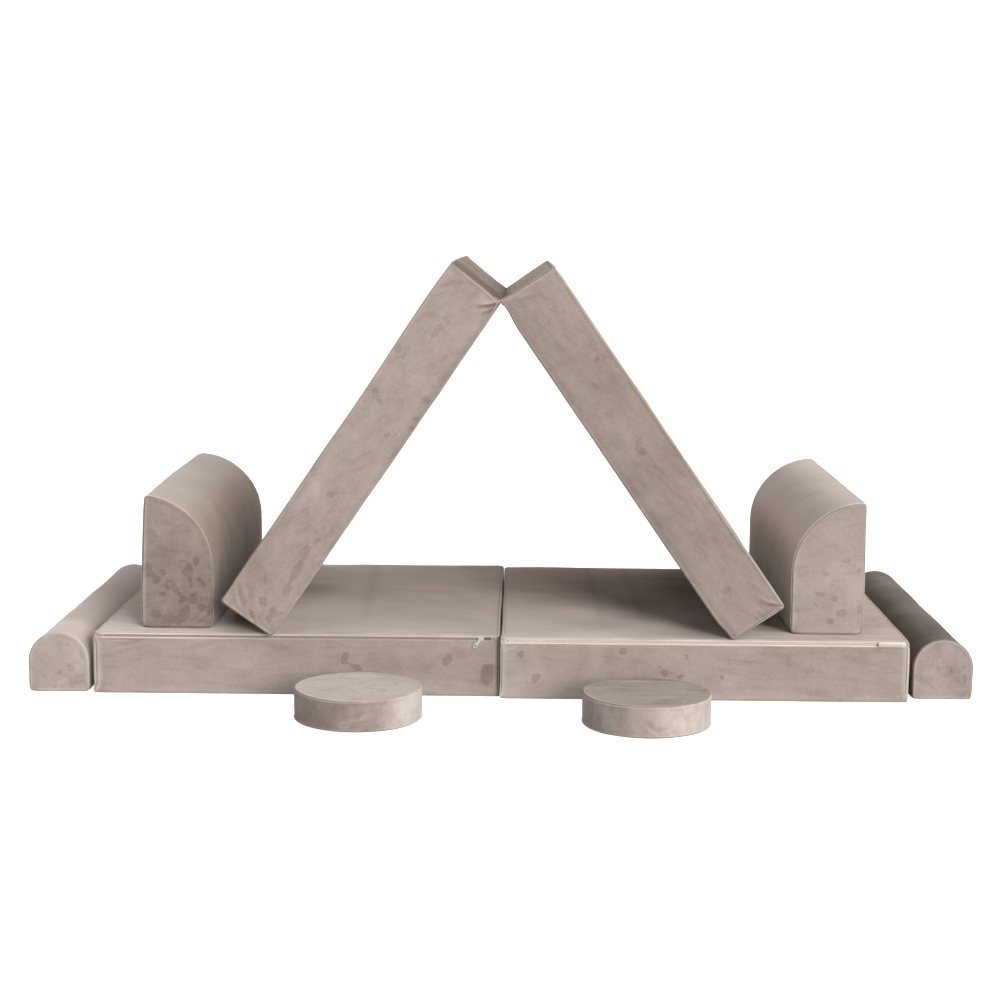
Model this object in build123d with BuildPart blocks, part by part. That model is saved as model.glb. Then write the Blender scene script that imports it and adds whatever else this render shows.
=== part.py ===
"""Modular foam play sofa laid out as a tent on two base mats.

Ten foam modules: two base mats, two mats leaning together as a tent, two quarter-round
blocks, two half-round rolls and two discs. Each module is a foam core in a thin zipped
cover, with its zip, slider and pull tab. A sewn seam hinges the tent panels at the apex.

Millimetres. X runs left to right, Y front to back, Z up from the floor. The origin is on
the floor under the middle of the whole layout.
"""

import os
from math import cos, radians, sin, sqrt

from build123d import *

os.makedirs("parts", exist_ok=True)

# ---------------------------------------------------------------- driving dimensions
# modules, outside the cover
mat_side = 801.0          # base mats and tent panels are square
mat_thick = 122.0
quarter_wide = 143.0      # quarter-round block, also the radius of its round
quarter_high = 264.0
quarter_long = 744.0
roll_wide = 118.0         # half-round roll
roll_high = 120.0
roll_long = 784.0
disc_radius = 120.5
disc_high = 59.0

# cover and foam
wall = 1.5                # cover thickness with its seam allowances
core_inset = 3.0          # foam core inside the cover's outer face
profile_r = 6.0           # rounding of the edges that run front to back
end_r = 4.0               # rounding of the edges round the two end faces
clear = 0.3               # gap between modules that rest on each other

# layout
y_middle = 240.25         # the layout's middle, behind the left base mat's front face
mat_gap = 2.6             # gap between the two base mats
right_mat_forward = 17.0
tent_lean = 55.345        # panel slope above the mat, degrees
tent_front = -23.0        # panel front face, from the left base mat's front face
hinge_gap = 1.5           # hinge axis to each panel's inner face
left_quarter_x = -718.0   # flat outer side
left_quarter_front = 47.0
right_quarter_x = 721.0
right_quarter_front = 42.0
roll_x = 935.0            # outer sides of both rolls, left and right of the middle
left_roll_front = 2.0
right_roll_front = 8.5
left_disc_at = (-266.0, -177.0)
right_disc_at = (278.0, -200.0)

# zips
tape_half = 3.4
tape_thick = 0.8
tape_top = -1.95          # tape's outer face, below the cover's outer face
chain_half = 1.6
chain_top = 0.9           # coil stands a little proud of the cover
slot_half = 2.6
slider_long = 11.0
slider_half = 3.4
post_r = 0.8
eye_r = 1.05
pull_long = 24.4
pull_thick = 1.2

# ---------------------------------------------------------------- derived places
y0 = -y_middle
mat_top = mat_thick
tent_c, tent_s = cos(radians(tent_lean)), sin(radians(tent_lean))
# centre of the rounding that a tent panel stands on, and the hinge axis at the apex
foot_z = mat_top + clear + profile_r
half_span = (mat_side - profile_r) * tent_c + (hinge_gap + profile_r) * tent_s
apex_z = foot_z + (mat_side - profile_r) * tent_s - (hinge_gap + profile_r) * tent_c
print("foot centre x, z:", round(-half_span, 3), round(foot_z, 3))
print("hinge axis z:", round(apex_z, 3))


def label(builder, name):
    builder.part.label = name
    export_step(builder.part, f"parts/{name}.step")


# ---------------------------------------------------------------- module solids
# Each is the closed solid as far inside the module's outer surface as inset says.
def round_ends(body, inset):
    """The two faces at the front and the back, whose edges are all rounded."""
    ends = body.faces().filter_by(Axis.Y).sort_by(Axis.Y)
    return [*ends[0].edges(), *ends[-1].edges()]


def mat_solid(plane, across, inset):
    """Square mat drawn on its rear face: across is +1 or -1, the side of the plane's x that its thickness is on."""
    lo, hi = inset, mat_thick - inset
    with BuildPart() as body:
        with BuildSketch(plane.offset(inset)):
            with BuildLine():
                Polyline(
                    (inset, across * lo),
                    (mat_side - inset, across * lo),
                    (mat_side - inset, across * hi),
                    (inset, across * hi),
                    close=True,
                )
            make_face()
            fillet(vertices(), radius=profile_r - inset * 0.85)
        extrude(amount=mat_side - 2 * inset)
        fillet(round_ends(body, inset), radius=end_r - inset * 0.85)
    return body


def quarter_solid(plane, side, inset):
    """Flat outer side at x = 0 and a round as wide as the block, side = +1 or -1 towards the middle."""
    low_arc = quarter_high - quarter_wide
    reach = quarter_wide - inset
    corner = low_arc + sqrt(reach**2 - inset**2)
    mid = reach * sqrt(0.5)
    with BuildPart() as body:
        with BuildSketch(plane.offset(inset)):
            with BuildLine():
                Line((side * inset, inset), (side * inset, corner))
                ThreePointArc(
                    (side * inset, corner),
                    (side * mid, low_arc + mid),
                    (side * reach, low_arc),
                )
                Line((side * reach, low_arc), (side * reach, inset))
                Line((side * reach, inset), (side * inset, inset))
            make_face()
            low = vertices().group_by(Axis.Y)[0]
            top = vertices().sort_by(Axis.Y)[-1]
            fillet([*low, top], radius=profile_r - inset * 0.85)
        extrude(amount=quarter_long - 2 * inset)
        fillet(round_ends(body, inset), radius=end_r - inset * 0.85)
    return body


def roll_solid(plane, inset):
    """Flat foot, short upright sides, half-round top."""
    radius = roll_wide / 2
    low_arc = roll_high - radius
    with BuildPart() as body:
        with BuildSketch(plane.offset(inset)):
            with BuildLine():
                Line((inset, inset), (inset, low_arc))
                ThreePointArc(
                    (inset, low_arc),
                    (radius, roll_high - inset),
                    (roll_wide - inset, low_arc),
                )
                Line((roll_wide - inset, low_arc), (roll_wide - inset, inset))
                Line((roll_wide - inset, inset), (inset, inset))
            make_face()
            fillet(vertices().group_by(Axis.Y)[0], radius=profile_r - inset * 0.85)
        extrude(amount=roll_long - 2 * inset)
        fillet(round_ends(body, inset), radius=end_r - inset * 0.85)
    return body


def disc(at, inset):
    with BuildPart() as body:
        with BuildSketch(Plane.XY.offset(inset)):
            with Locations(at):
                Circle(disc_radius - inset)
        extrude(amount=disc_high - 2 * inset)
        fillet(edges().filter_by(GeomType.CIRCLE), radius=end_r - inset * 0.85)
    return body


# ---------------------------------------------------------------- straight zips
# A zip's plane has its x along the zip, y across it and z out of the cover.
def straight_slot(plane, length):
    """The opening in the cover that the coil shows in."""
    with BuildPart() as cut:
        with BuildSketch(plane.offset(-wall - 0.2)):
            SlotOverall(length + 2 * slot_half, 2 * slot_half)
        extrude(amount=wall + 1.2)
    return cut


def straight_zip(plane, length):
    with BuildPart() as zip_strip:
        with BuildSketch(plane.offset(tape_top - tape_thick)):
            Rectangle(length + 6, 2 * tape_half)
        extrude(amount=tape_thick)
        with BuildSketch(plane.offset(tape_top)):
            Rectangle(length, 2 * chain_half)
        extrude(amount=chain_top - tape_top)
        with BuildSketch(plane.offset(tape_top)):
            with Locations((-length / 2 + 1, 0), (length / 2 - 1, 0)):
                Rectangle(2, 4.2)
        extrude(amount=chain_top + 0.4 - tape_top)
    return zip_strip


def slider(plane):
    """Channel that straddles the coil, with a headed post for the pull tab."""
    with BuildPart() as body:
        with BuildSketch(plane.offset(0.2)):
            RectangleRounded(slider_long, 2 * slider_half, 2.2)
        extrude(amount=2.25)
        with BuildSketch(plane.offset(0.2)):
            Rectangle(slider_long + 1, 3.8)
        extrude(amount=1.05, mode=Mode.SUBTRACT)
        with BuildSketch(plane.offset(2.45)):
            Circle(post_r)
        extrude(amount=1.95)
        with BuildSketch(plane.offset(4.4)):
            Circle(1.6)
        extrude(amount=0.6)
    return body


def pull(plane, swing):
    """Flat tab with an eye on the post and a hole near its wide end; swing turns it from straight down towards -x."""
    far = pull_long - 2.4 - 4.0
    hang = Plane(
        origin=plane.offset(2.75).origin,
        x_dir=plane.x_dir.rotate(Axis((0, 0, 0), plane.z_dir), -swing),
        z_dir=plane.z_dir,
    )
    with BuildPart() as body:
        with BuildSketch(hang):
            with BuildLine() as line:
                Polyline(
                    (-2.1, 0), (-2.1, -4.5), (-4, -far), (4, -far), (2.1, -4.5), (2.1, 0), close=True
                )
            make_face()
            with Locations((0, 0)):
                Circle(2.4)
            with Locations((0, -far)):
                Circle(4)
            with Locations((0, 0)):
                Circle(eye_r, mode=Mode.SUBTRACT)
            with Locations((0, -far + 0.6)):
                Circle(2.1, mode=Mode.SUBTRACT)
        extrude(amount=pull_thick)
    return body


def module(name, outer, inner, core, plane, length, at, swing=0.0):
    """Writes the five pieces of a module with a straight zip: at is the slider's place along the zip."""
    slot = straight_slot(plane, length)
    with BuildPart() as cover:
        add(outer.part)
        add(inner.part, mode=Mode.SUBTRACT)
        add(slot.part, mode=Mode.SUBTRACT)
    zip_strip = straight_zip(plane, length)
    carrier = Plane(
        origin=plane.origin + plane.x_dir * at, x_dir=plane.x_dir, z_dir=plane.z_dir
    )
    label(cover, f"{name}_cover")
    label(core, f"{name}_foam")
    label(zip_strip, f"{name}_zip")
    label(slider(carrier), f"{name}_zip_slider")
    label(pull(carrier, swing), f"{name}_zip_pull")
    print(name, "slider at", [round(v, 3) for v in carrier.origin])


# ---------------------------------------------------------------- base mats
mat_zip = 772.0
zip_under_top = 7.0


def base_mat(name, left_x, front, at, swing):
    plane = Plane(
        origin=(left_x, y0 + front + mat_side, 0), x_dir=(1, 0, 0), z_dir=(0, -1, 0)
    )
    zip_plane = Plane(
        origin=(left_x + mat_side / 2, y0 + front, mat_top - zip_under_top),
        x_dir=(1, 0, 0),
        z_dir=(0, -1, 0),
    )
    module(
        name,
        mat_solid(plane, 1, 0),
        mat_solid(plane, 1, wall),
        mat_solid(plane, 1, core_inset),
        zip_plane,
        mat_zip,
        at,
        swing,
    )


base_mat("left_base", -mat_gap / 2 - mat_side, 0.0, mat_side / 2 - 37.0, 40.0)
base_mat("right_base", mat_gap / 2, -right_mat_forward, mat_zip / 2 - 9.0, 90.0)

# ---------------------------------------------------------------- tent panels
tent_zip = 740.0
zip_under_outer = 8.0  # zip line below the panel's outer face, on its lower end face


def tent_panel(name, side):
    """side is -1 for the left panel and +1 for the right one."""
    along = Vector(-side * tent_c, 0, tent_s)
    outward = Vector(side * tent_s, 0, tent_c)
    foot = Vector(side * half_span, 0, foot_z)
    corner = foot - along * profile_r - outward * profile_r
    plane = Plane(
        origin=(corner.X, y0 + tent_front + mat_side, corner.Z),
        x_dir=along,
        z_dir=(0, -1, 0),
    )
    across = corner + outward * (mat_thick - zip_under_outer)
    zip_plane = Plane(
        origin=(across.X, y0 + tent_front + mat_side / 2, across.Z),
        x_dir=(0, side, 0),
        z_dir=along * -1,
    )
    module(
        name,
        mat_solid(plane, -side, 0),
        mat_solid(plane, -side, wall),
        mat_solid(plane, -side, core_inset),
        zip_plane,
        tent_zip,
        side * (tent_zip / 2 - 9.0),
    )


tent_panel("left_tent", -1)
tent_panel("right_tent", 1)

# sewn hinge: a round seam on the hinge axis, and the seam allowance that runs to the left panel
seam_r = 2.3
with BuildPart() as tent_hinge:
    with BuildSketch(
        Plane(
            origin=(0, y0 + tent_front + mat_side - 8, apex_z),
            x_dir=(tent_c, 0, tent_s),
            z_dir=(0, -1, 0),
        )
    ):
        Circle(seam_r)
        with BuildLine():
            reach = sqrt(profile_r**2 + (profile_r + hinge_gap) ** 2) - profile_r - 0.02
            ux, uy = -profile_r, profile_r + hinge_gap
            size = sqrt(ux**2 + uy**2)
            ux, uy = ux / size, uy / size
            px, py = -uy * 0.6, ux * 0.6
            Polyline(
                (px, py),
                (px + ux * (reach - 0.05), py + uy * (reach - 0.05)),
                (-px + ux * (reach - 0.05), -py + uy * (reach - 0.05)),
                (-px, -py),
                close=True,
            )
        make_face()
    extrude(amount=mat_side - 16)
label(tent_hinge, "tent_hinge_seam")

# ---------------------------------------------------------------- quarter-round blocks
side_zip_above = 34.0  # zip line above the module's foot, so that the pull hangs free


def quarter_round(name, side, outer_x, front):
    """side is -1 for the left block: its flat side faces out, its round faces the tent."""
    plane = Plane(
        origin=(outer_x, y0 + front + quarter_long, mat_top + clear),
        x_dir=(1, 0, 0),
        z_dir=(0, -1, 0),
    )
    zip_plane = Plane(
        origin=(outer_x, y0 + front + quarter_long / 2, mat_top + clear + side_zip_above),
        x_dir=(0, side, 0),
        z_dir=(side, 0, 0),
    )
    module(
        name,
        quarter_solid(plane, -side, 0),
        quarter_solid(plane, -side, wall),
        quarter_solid(plane, -side, core_inset),
        zip_plane,
        680.0,
        side * (680.0 / 2 - 9.0),
    )


quarter_round("left_quarter", -1, left_quarter_x, left_quarter_front)
quarter_round("right_quarter", 1, right_quarter_x, right_quarter_front)


# ---------------------------------------------------------------- half-round rolls
def half_round(name, side, front):
    left = -roll_x if side < 0 else roll_x - roll_wide
    plane = Plane(
        origin=(left, y0 + front + roll_long, 0), x_dir=(1, 0, 0), z_dir=(0, -1, 0)
    )
    zip_plane = Plane(
        origin=(side * roll_x, y0 + front + roll_long / 2, side_zip_above),
        x_dir=(0, side, 0),
        z_dir=(side, 0, 0),
    )
    module(
        name,
        roll_solid(plane, 0),
        roll_solid(plane, wall),
        roll_solid(plane, core_inset),
        zip_plane,
        720.0,
        side * (720.0 / 2 - 9.0),
    )


half_round("left_roll", -1, left_roll_front)
half_round("right_roll", 1, right_roll_front)

# ---------------------------------------------------------------- discs
disc_zip_from, disc_zip_to = 20.0, 160.0  # round the back of the wall, degrees from +X
disc_zip_high = 34.0


def arc_plane(at, angle):
    """Half-plane through the disc's axis: x is the radius, y is up."""
    c, s = cos(radians(angle)), sin(radians(angle))
    return Plane(origin=(*at, disc_zip_high), x_dir=(c, s, 0), z_dir=(s, -c, 0))


def arc_strip(at, start, sweep, low, high, half):
    """Ring segment from low to high outside the wall's radius, half as tall as half says, each way."""
    with BuildPart() as strip:
        with BuildSketch(arc_plane(at, start)):
            with Locations((disc_radius + (low + high) / 2, 0)):
                Rectangle(high - low, 2 * half)
        revolve(axis=Axis((*at, 0), (0, 0, 1)), revolution_arc=sweep)
    return strip


def stepping_disc(name, at, slider_angle):
    sweep = disc_zip_to - disc_zip_from
    slot = arc_strip(at, disc_zip_from - 1, sweep + 2, -wall - 0.2, 1.0, slot_half)
    tape = arc_strip(at, disc_zip_from - 1.5, sweep + 3, tape_top - tape_thick, tape_top, tape_half)
    chain = arc_strip(at, disc_zip_from, sweep, tape_top, chain_top, chain_half)
    outer, inner = disc(at, 0), disc(at, wall)
    with BuildPart() as cover:
        add(outer.part)
        add(inner.part, mode=Mode.SUBTRACT)
        add(slot.part, mode=Mode.SUBTRACT)
    with BuildPart() as zip_strip:
        add(tape.part)
        add(chain.part)
    c, s = cos(radians(slider_angle)), sin(radians(slider_angle))
    carrier = Plane(
        origin=(at[0] + disc_radius * c, at[1] + disc_radius * s, disc_zip_high),
        x_dir=(-s, c, 0),
        z_dir=(c, s, 0),
    )
    label(cover, f"{name}_cover")
    label(disc(at, core_inset), f"{name}_foam")
    label(zip_strip, f"{name}_zip")
    label(slider(carrier), f"{name}_zip_slider")
    label(pull(carrier, 0.0), f"{name}_zip_pull")
    print(name, "slider at", [round(v, 3) for v in carrier.origin])


stepping_disc("left_disc", (left_disc_at[0], y0 + left_disc_at[1]), 26.0)
stepping_disc("right_disc", (right_disc_at[0], y0 + right_disc_at[1]), 154.0)
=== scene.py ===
import math

import bpy
import numpy as np
from mathutils import Matrix, Vector


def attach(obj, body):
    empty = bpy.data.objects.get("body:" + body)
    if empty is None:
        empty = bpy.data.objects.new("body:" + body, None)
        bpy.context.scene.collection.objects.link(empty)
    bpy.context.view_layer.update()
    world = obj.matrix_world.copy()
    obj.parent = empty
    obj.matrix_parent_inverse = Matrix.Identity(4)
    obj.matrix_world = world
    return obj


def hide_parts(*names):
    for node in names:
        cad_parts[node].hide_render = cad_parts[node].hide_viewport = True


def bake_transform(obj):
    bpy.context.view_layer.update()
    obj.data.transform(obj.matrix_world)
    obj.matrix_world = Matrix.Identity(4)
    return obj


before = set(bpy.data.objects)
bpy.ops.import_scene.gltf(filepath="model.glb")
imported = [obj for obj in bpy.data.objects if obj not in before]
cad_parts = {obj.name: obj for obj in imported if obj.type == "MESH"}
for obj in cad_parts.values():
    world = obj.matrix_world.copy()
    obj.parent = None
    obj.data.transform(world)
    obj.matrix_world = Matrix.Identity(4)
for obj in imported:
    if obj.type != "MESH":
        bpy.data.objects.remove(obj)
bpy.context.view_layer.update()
MM = 0.001

# ------------------------------------------------------------------ sizes shared with the frame, in metres
MAT, THICK = 0.801, 0.122
PROFILE_R, END_R = 0.006, 0.004
Q_WIDE, Q_HIGH = 0.143, 0.264
R_WIDE, R_HIGH = 0.118, 0.120
D_R, D_HIGH = 0.1205, 0.059
LEAN = math.radians(55.345)


# ------------------------------------------------------------------ noise
def _hash(i, j, k, seed):
    h = (
        i.astype(np.uint32) * np.uint32(374761393)
        + j.astype(np.uint32) * np.uint32(668265263)
        + k.astype(np.uint32) * np.uint32(2246822519)
        + np.uint32((seed * 3266489917 + 1013904223) & 0xFFFFFFFF)
    )
    h ^= h >> np.uint32(15)
    h *= np.uint32(2246822519)
    h ^= h >> np.uint32(13)
    h *= np.uint32(3266489917)
    h ^= h >> np.uint32(16)
    return h


def noise(x, y, z, seed=0):
    """Smooth gradient noise, about -1 to 1."""
    x, y, z = np.broadcast_arrays(
        np.asarray(x, float), np.asarray(y, float), np.asarray(z, float)
    )
    i, j, k = np.floor(x), np.floor(y), np.floor(z)
    fx, fy, fz = x - i, y - j, z - k
    i, j, k = i.astype(np.int64), j.astype(np.int64), k.astype(np.int64)
    ux, uy, uz = (t * t * t * (t * (t * 6 - 15) + 10) for t in (fx, fy, fz))
    out = 0.0
    for di in (0, 1):
        for dj in (0, 1):
            for dk in (0, 1):
                h = _hash(i + di, j + dj, k + dk, seed)
                a = (h & np.uint32(1023)).astype(float) * (2 * math.pi / 1024)
                c = ((h >> np.uint32(10)) & np.uint32(1023)).astype(float) / 511.5 - 1
                r = np.sqrt(np.maximum(0, 1 - c * c))
                g = (
                    (fx - di) * r * np.cos(a)
                    + (fy - dj) * r * np.sin(a)
                    + (fz - dk) * c
                )
                out = out + g * (
                    (ux if di else 1 - ux)
                    * (uy if dj else 1 - uy)
                    * (uz if dk else 1 - uz)
                )
    return out * 1.6


def step(a, b, x):
    t = np.clip((np.asarray(x, float) - a) / (b - a), 0, 1)
    return t * t * (3 - 2 * t)


def bell(x, w):
    return np.exp(-((x / w) ** 2))


# ------------------------------------------------------------------ outlines and blocks
class Outline:
    """A closed profile of lines and arcs, drawn counter-clockwise."""

    def __init__(self, parts):
        self.parts = parts
        self.lens = []
        for s in parts:
            if s[0] == "l":
                self.lens.append(math.dist(s[1], s[2]))
            else:
                self.lens.append(s[2] * math.radians(s[4] - s[3]))
        self.ends = np.concatenate([[0], np.cumsum(self.lens)])
        self.total = float(self.ends[-1])

    def at(self, s):
        s = np.asarray(s, float) % self.total
        p, n = np.zeros((len(s), 2)), np.zeros((len(s), 2))
        which = np.clip(
            np.searchsorted(self.ends, s, side="right") - 1, 0, len(self.parts) - 1
        )
        for k, part in enumerate(self.parts):
            m = which == k
            if not m.any():
                continue
            a = s[m] - self.ends[k]
            if part[0] == "l":
                p0, p1 = np.array(part[1], float), np.array(part[2], float)
                d = (p1 - p0) / self.lens[k]
                p[m] = p0 + a[:, None] * d
                n[m] = (d[1], -d[0])
            else:
                _, c, r, a0, a1 = part
                th = math.radians(a0) + a / r
                n[m] = np.stack([np.cos(th), np.sin(th)], 1)
                p[m] = np.array(c, float) + r * n[m]
        return p, n


def spaced(length, coarse, marks, n=None):
    """Positions from 0 to length, closer together near each mark (where, spacing, reach, growth)."""
    x = np.linspace(0, length, 6000)
    h = np.full(x.shape, float(coarse))
    for where, fine, reach, growth in marks:
        h = np.minimum(h, fine + growth * np.maximum(np.abs(x - where) - reach, 0))
    c = np.concatenate(
        [[0], np.cumsum((1 / h[1:] + 1 / h[:-1]) / 2 * np.diff(x))]
    )
    n = n or max(2, int(math.ceil(c[-1] - 1e-6)))
    return np.interp(np.linspace(0, c[-1], n + 1), c, x)


class Block:
    """A closed quad mesh: an outline carried along a run, its two ends rounded over into square-gridded caps."""

    def __init__(
        self,
        outline,
        cuts,
        run,
        axes,
        origin,
        fine=0.8 * MM,
        coarse=9 * MM,
        growth=0.2,
        rounds=8,
        across=None,
        along=(),
        sharp=(0, 1, 2, 3),
        insets=(),
        end_r=END_R,
        reach=4.5 * MM,
        coarse_run=None,
        ends=3 * MM,
    ):
        self.outline, self.run, self.end_r = outline, run, end_r
        across = across or {}
        total = outline.total
        cuts = [c % total for c in cuts]
        lens = [(cuts[(k + 1) % 4] - cuts[k]) % total for k in range(4)]
        self.cuts, self.lens = np.array(cuts), np.array(lens)
        corner_fine = fine
        sides = [None] * 4
        for a, b in ((0, 2), (1, 3)):
            marks = []
            for k, side in ((a, a), (a + 1, a)):
                if k % 4 in sharp:
                    marks.append(
                        (0 if k == a else lens[a], corner_fine, reach, growth)
                    )
            for k in (b, (b + 1) % 4):
                if k in sharp:
                    marks.append(
                        (lens[a] if k == b else 0, corner_fine, reach, growth)
                    )
            for w, h, r, g in across.get(a, ()):
                marks.append((w, h, r, g))
            scale = lens[a] / lens[b]
            for w, h, r, g in across.get(b, ()):
                marks.append(((lens[b] - w) * scale, h * scale, r * scale, g))
            sa = spaced(lens[a], coarse, marks)
            u = sa / lens[a]
            sides[a] = u
            sides[b] = (1 - u)[::-1]
        self.n0, self.n1 = len(sides[0]) - 1, len(sides[1]) - 1
        ring, coord, side = [], [], []
        for k in range(4):
            ring.append(cuts[k] + sides[k][:-1] * lens[k])
            coord.append(k + sides[k][:-1])
            side.append(np.full(len(sides[k]) - 1, k))
        self.ring_s = np.concatenate(ring) % total
        self.ring_coord = np.concatenate(coord)
        self.ring_side = np.concatenate(side)
        self.u, self.v = sides[0], sides[1]
        m = self.m = len(self.ring_s)
        p2, n2 = outline.at(self.ring_s)
        r = end_r
        ang = np.linspace(math.pi / 2, 0, rounds + 1)
        y0, y1 = run
        straight = spaced(
            y1 - y0 - 2 * r,
            coarse_run or coarse,
            [(0, fine, ends, growth), (y1 - y0 - 2 * r, fine, 3 * MM, growth)]
            + [(w - y0 - r, h, rr, g) for w, h, rr, g in along],
        )
        rows = []  # t, place along the run, inset, tilt of the normal
        for d in sorted(insets, reverse=True):
            rows.append((-d, y0, r + d, math.pi / 2, -1))
        for a in ang[:-1]:
            rows.append(
                (
                    r * (math.pi / 2 - a),
                    y0 + r - r * math.sin(a),
                    r - r * math.cos(a),
                    a,
                    -1,
                )
            )
        t1 = r * math.pi / 2
        for s in straight:
            rows.append((t1 + s, y0 + r + s, 0.0, 0.0, 1))
        t2 = t1 + (y1 - y0 - 2 * r)
        for a in ang[::-1][1:]:
            rows.append(
                (t2 + r * a, y1 - r + r * math.sin(a), r - r * math.cos(a), a, 1)
            )
        t3 = t2 + r * math.pi / 2
        for d in sorted(insets):
            rows.append((t3 + d, y1, r + d, math.pi / 2, 1))
        rows = np.array(rows)
        self.row_t, self.rows = rows[:, 0], len(rows)
        self.t_front, self.t_back = r * math.pi / 4, t3 - r * math.pi / 4
        R = self.rows
        # ring vertices, local coordinates (p, q, run)
        inset = rows[:, 2][:, None]
        P = np.zeros((R, m, 3))
        P[:, :, 0] = p2[None, :, 0] - inset * n2[None, :, 0]
        P[:, :, 1] = p2[None, :, 1] - inset * n2[None, :, 1]
        P[:, :, 2] = rows[:, 1][:, None]
        N = np.zeros((R, m, 3))
        c, s = np.cos(rows[:, 3])[:, None], np.sin(rows[:, 3])[:, None]
        N[:, :, 0] = c * n2[None, :, 0]
        N[:, :, 1] = c * n2[None, :, 1]
        N[:, :, 2] = s * rows[:, 4][:, None]
        n0, n1 = self.n0, self.n1
        # where each cap node's ring point is
        ids = np.full((n0 + 1, n1 + 1), -1)
        ids[np.arange(n0 + 1), 0] = np.arange(n0 + 1)
        ids[n0, np.arange(n1 + 1)] = n0 + np.arange(n1 + 1)
        ids[np.arange(n0 + 1)[::-1], n1] = n0 + n1 + np.arange(n0 + 1)
        ids[0, np.arange(n1 + 1)[::-1]] = (2 * n0 + n1 + np.arange(n1 + 1)) % m
        ids[0, 0] = 0
        self.cap_ids = ids
        pts, nrm = [P.reshape(-1, 3)], [N.reshape(-1, 3)]
        self.where = [np.zeros(R * m, int)]
        inner = (n0 - 1) * (n1 - 1)
        grids = []
        for end, row in ((0, 0), (1, R - 1)):
            b = P[row]
            G = b[np.where(ids >= 0, ids, 0)]
            # width parameters measured on the cap itself, so that rows stay even
            uu = np.linalg.norm(np.diff(G[:, 0], axis=0), axis=1)
            uu = np.concatenate([[0], np.cumsum(uu)]) / uu.sum()
            ut = np.linalg.norm(np.diff(G[:, -1], axis=0), axis=1)
            ut = np.concatenate([[0], np.cumsum(ut)]) / ut.sum()
            vl = np.linalg.norm(np.diff(G[0], axis=0), axis=1)
            vl = np.concatenate([[0], np.cumsum(vl)]) / vl.sum()
            vr = np.linalg.norm(np.diff(G[-1], axis=0), axis=1)
            vr = np.concatenate([[0], np.cumsum(vr)]) / vr.sum()
            U = ((uu + ut) / 2)[:, None, None]
            V = ((vl + vr) / 2)[None, :, None]
            full = (
                (1 - V) * G[:, :1]
                + V * G[:, -1:]
                + (1 - U) * G[:1]
                + U * G[-1:]
                - (1 - U) * (1 - V) * G[0, 0]
                - U * (1 - V) * G[-1, 0]
                - (1 - U) * V * G[0, -1]
                - U * V * G[-1, -1]
            )
            pts.append(full[1:-1, 1:-1].reshape(-1, 3))
            q = np.zeros((inner, 3))
            q[:, 2] = -1 if end == 0 else 1
            nrm.append(q)
            self.where.append(np.full(inner, 1 + end))
            base = R * m + end * inner
            grid = np.zeros((n0 + 1, n1 + 1), int)
            grid[1:-1, 1:-1] = base + np.arange(inner).reshape(n0 - 1, n1 - 1)
            edge = ids >= 0
            grid[edge] = ids[edge] + row * m
            grids.append(grid)
        self.grids = grids
        self.loc = np.concatenate(pts)
        self.nrm = np.concatenate(nrm)
        self.where = np.concatenate(self.where)
        self.nring = R * m
        # faces
        i = np.arange(R - 1)[:, None] * m
        j = np.arange(m)[None, :]
        jn = (j + 1) % m
        side_faces = np.stack(
            [i + j, i + jn, i + m + jn, i + m + j], -1
        ).reshape(-1, 4)
        g = grids[0]
        front = np.stack([g[:-1, :-1], g[:-1, 1:], g[1:, 1:], g[1:, :-1]], -1)
        g = grids[1]
        back = np.stack([g[:-1, :-1], g[1:, :-1], g[1:, 1:], g[:-1, 1:]], -1)
        self.faces = np.concatenate(
            [side_faces, front.reshape(-1, 4), back.reshape(-1, 4)]
        )
        # seam coordinates
        t = np.repeat(self.row_t, m)
        s = np.tile(self.ring_s, R)
        n = len(self.loc)
        self.s_front, self.s_back = np.full(n, 9.0), np.full(n, 9.0)
        self.s_front[: R * m] = t - self.t_front
        self.s_back[: R * m] = self.t_back - t
        self.ell = np.zeros(n)
        self.ell[: R * m] = s
        for end, row in ((0, 0), (1, R - 1)):
            b = P[row][:, :2]
            k0 = R * m + end * inner
            q = self.loc[k0 : k0 + inner][:, :2]
            a, d = b, np.roll(b, -1, 0) - b
            best = np.full(inner, 1e9)
            where = np.zeros(inner)
            dd = (d**2).sum(1) + 1e-18
            for lo in range(0, inner, 2000):
                w = q[lo : lo + 2000]
                rel = w[:, None] - a[None]
                tt = np.clip((rel * d[None]).sum(2) / dd, 0, 1)
                gap = np.linalg.norm(rel - tt[:, :, None] * d[None], axis=2)
                k = gap.argmin(1)
                best[lo : lo + 2000] = gap[np.arange(len(w)), k]
                where[lo : lo + 2000] = self.ring_s[k]
            deep = best + END_R * math.pi / 4 + (insets and max(insets) or 0)
            self.ell[k0 : k0 + inner] = where
            (self.s_front if end == 0 else self.s_back)[k0 : k0 + inner] = -deep
        # frame
        self.axes = np.array([axes[0], axes[1], axes[2]], float)
        self.origin = np.array(origin, float)
        if self.volume() < 0:
            self.faces = self.faces[:, ::-1].copy()

    def world(self, loc=None):
        return (self.loc if loc is None else loc) @ self.axes + self.origin

    def normals(self):
        return self.nrm @ self.axes

    def volume(self):
        w = self.world()
        a, b, c, d = (w[self.faces[:, k]] for k in range(4))
        return float(
            ((a * np.cross(b, c)).sum() + (a * np.cross(c, d)).sum()) / 6
        )

    def corner_s(self, arc):
        """Signed distance round the ring from an arc-length place, on ring vertices only."""
        out = np.full(len(self.loc), 9.0)
        d = (self.ell[: self.nring] - arc) % self.outline.total
        d = np.where(d > self.outline.total / 2, d - self.outline.total, d)
        out[: self.nring] = d
        return out


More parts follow.
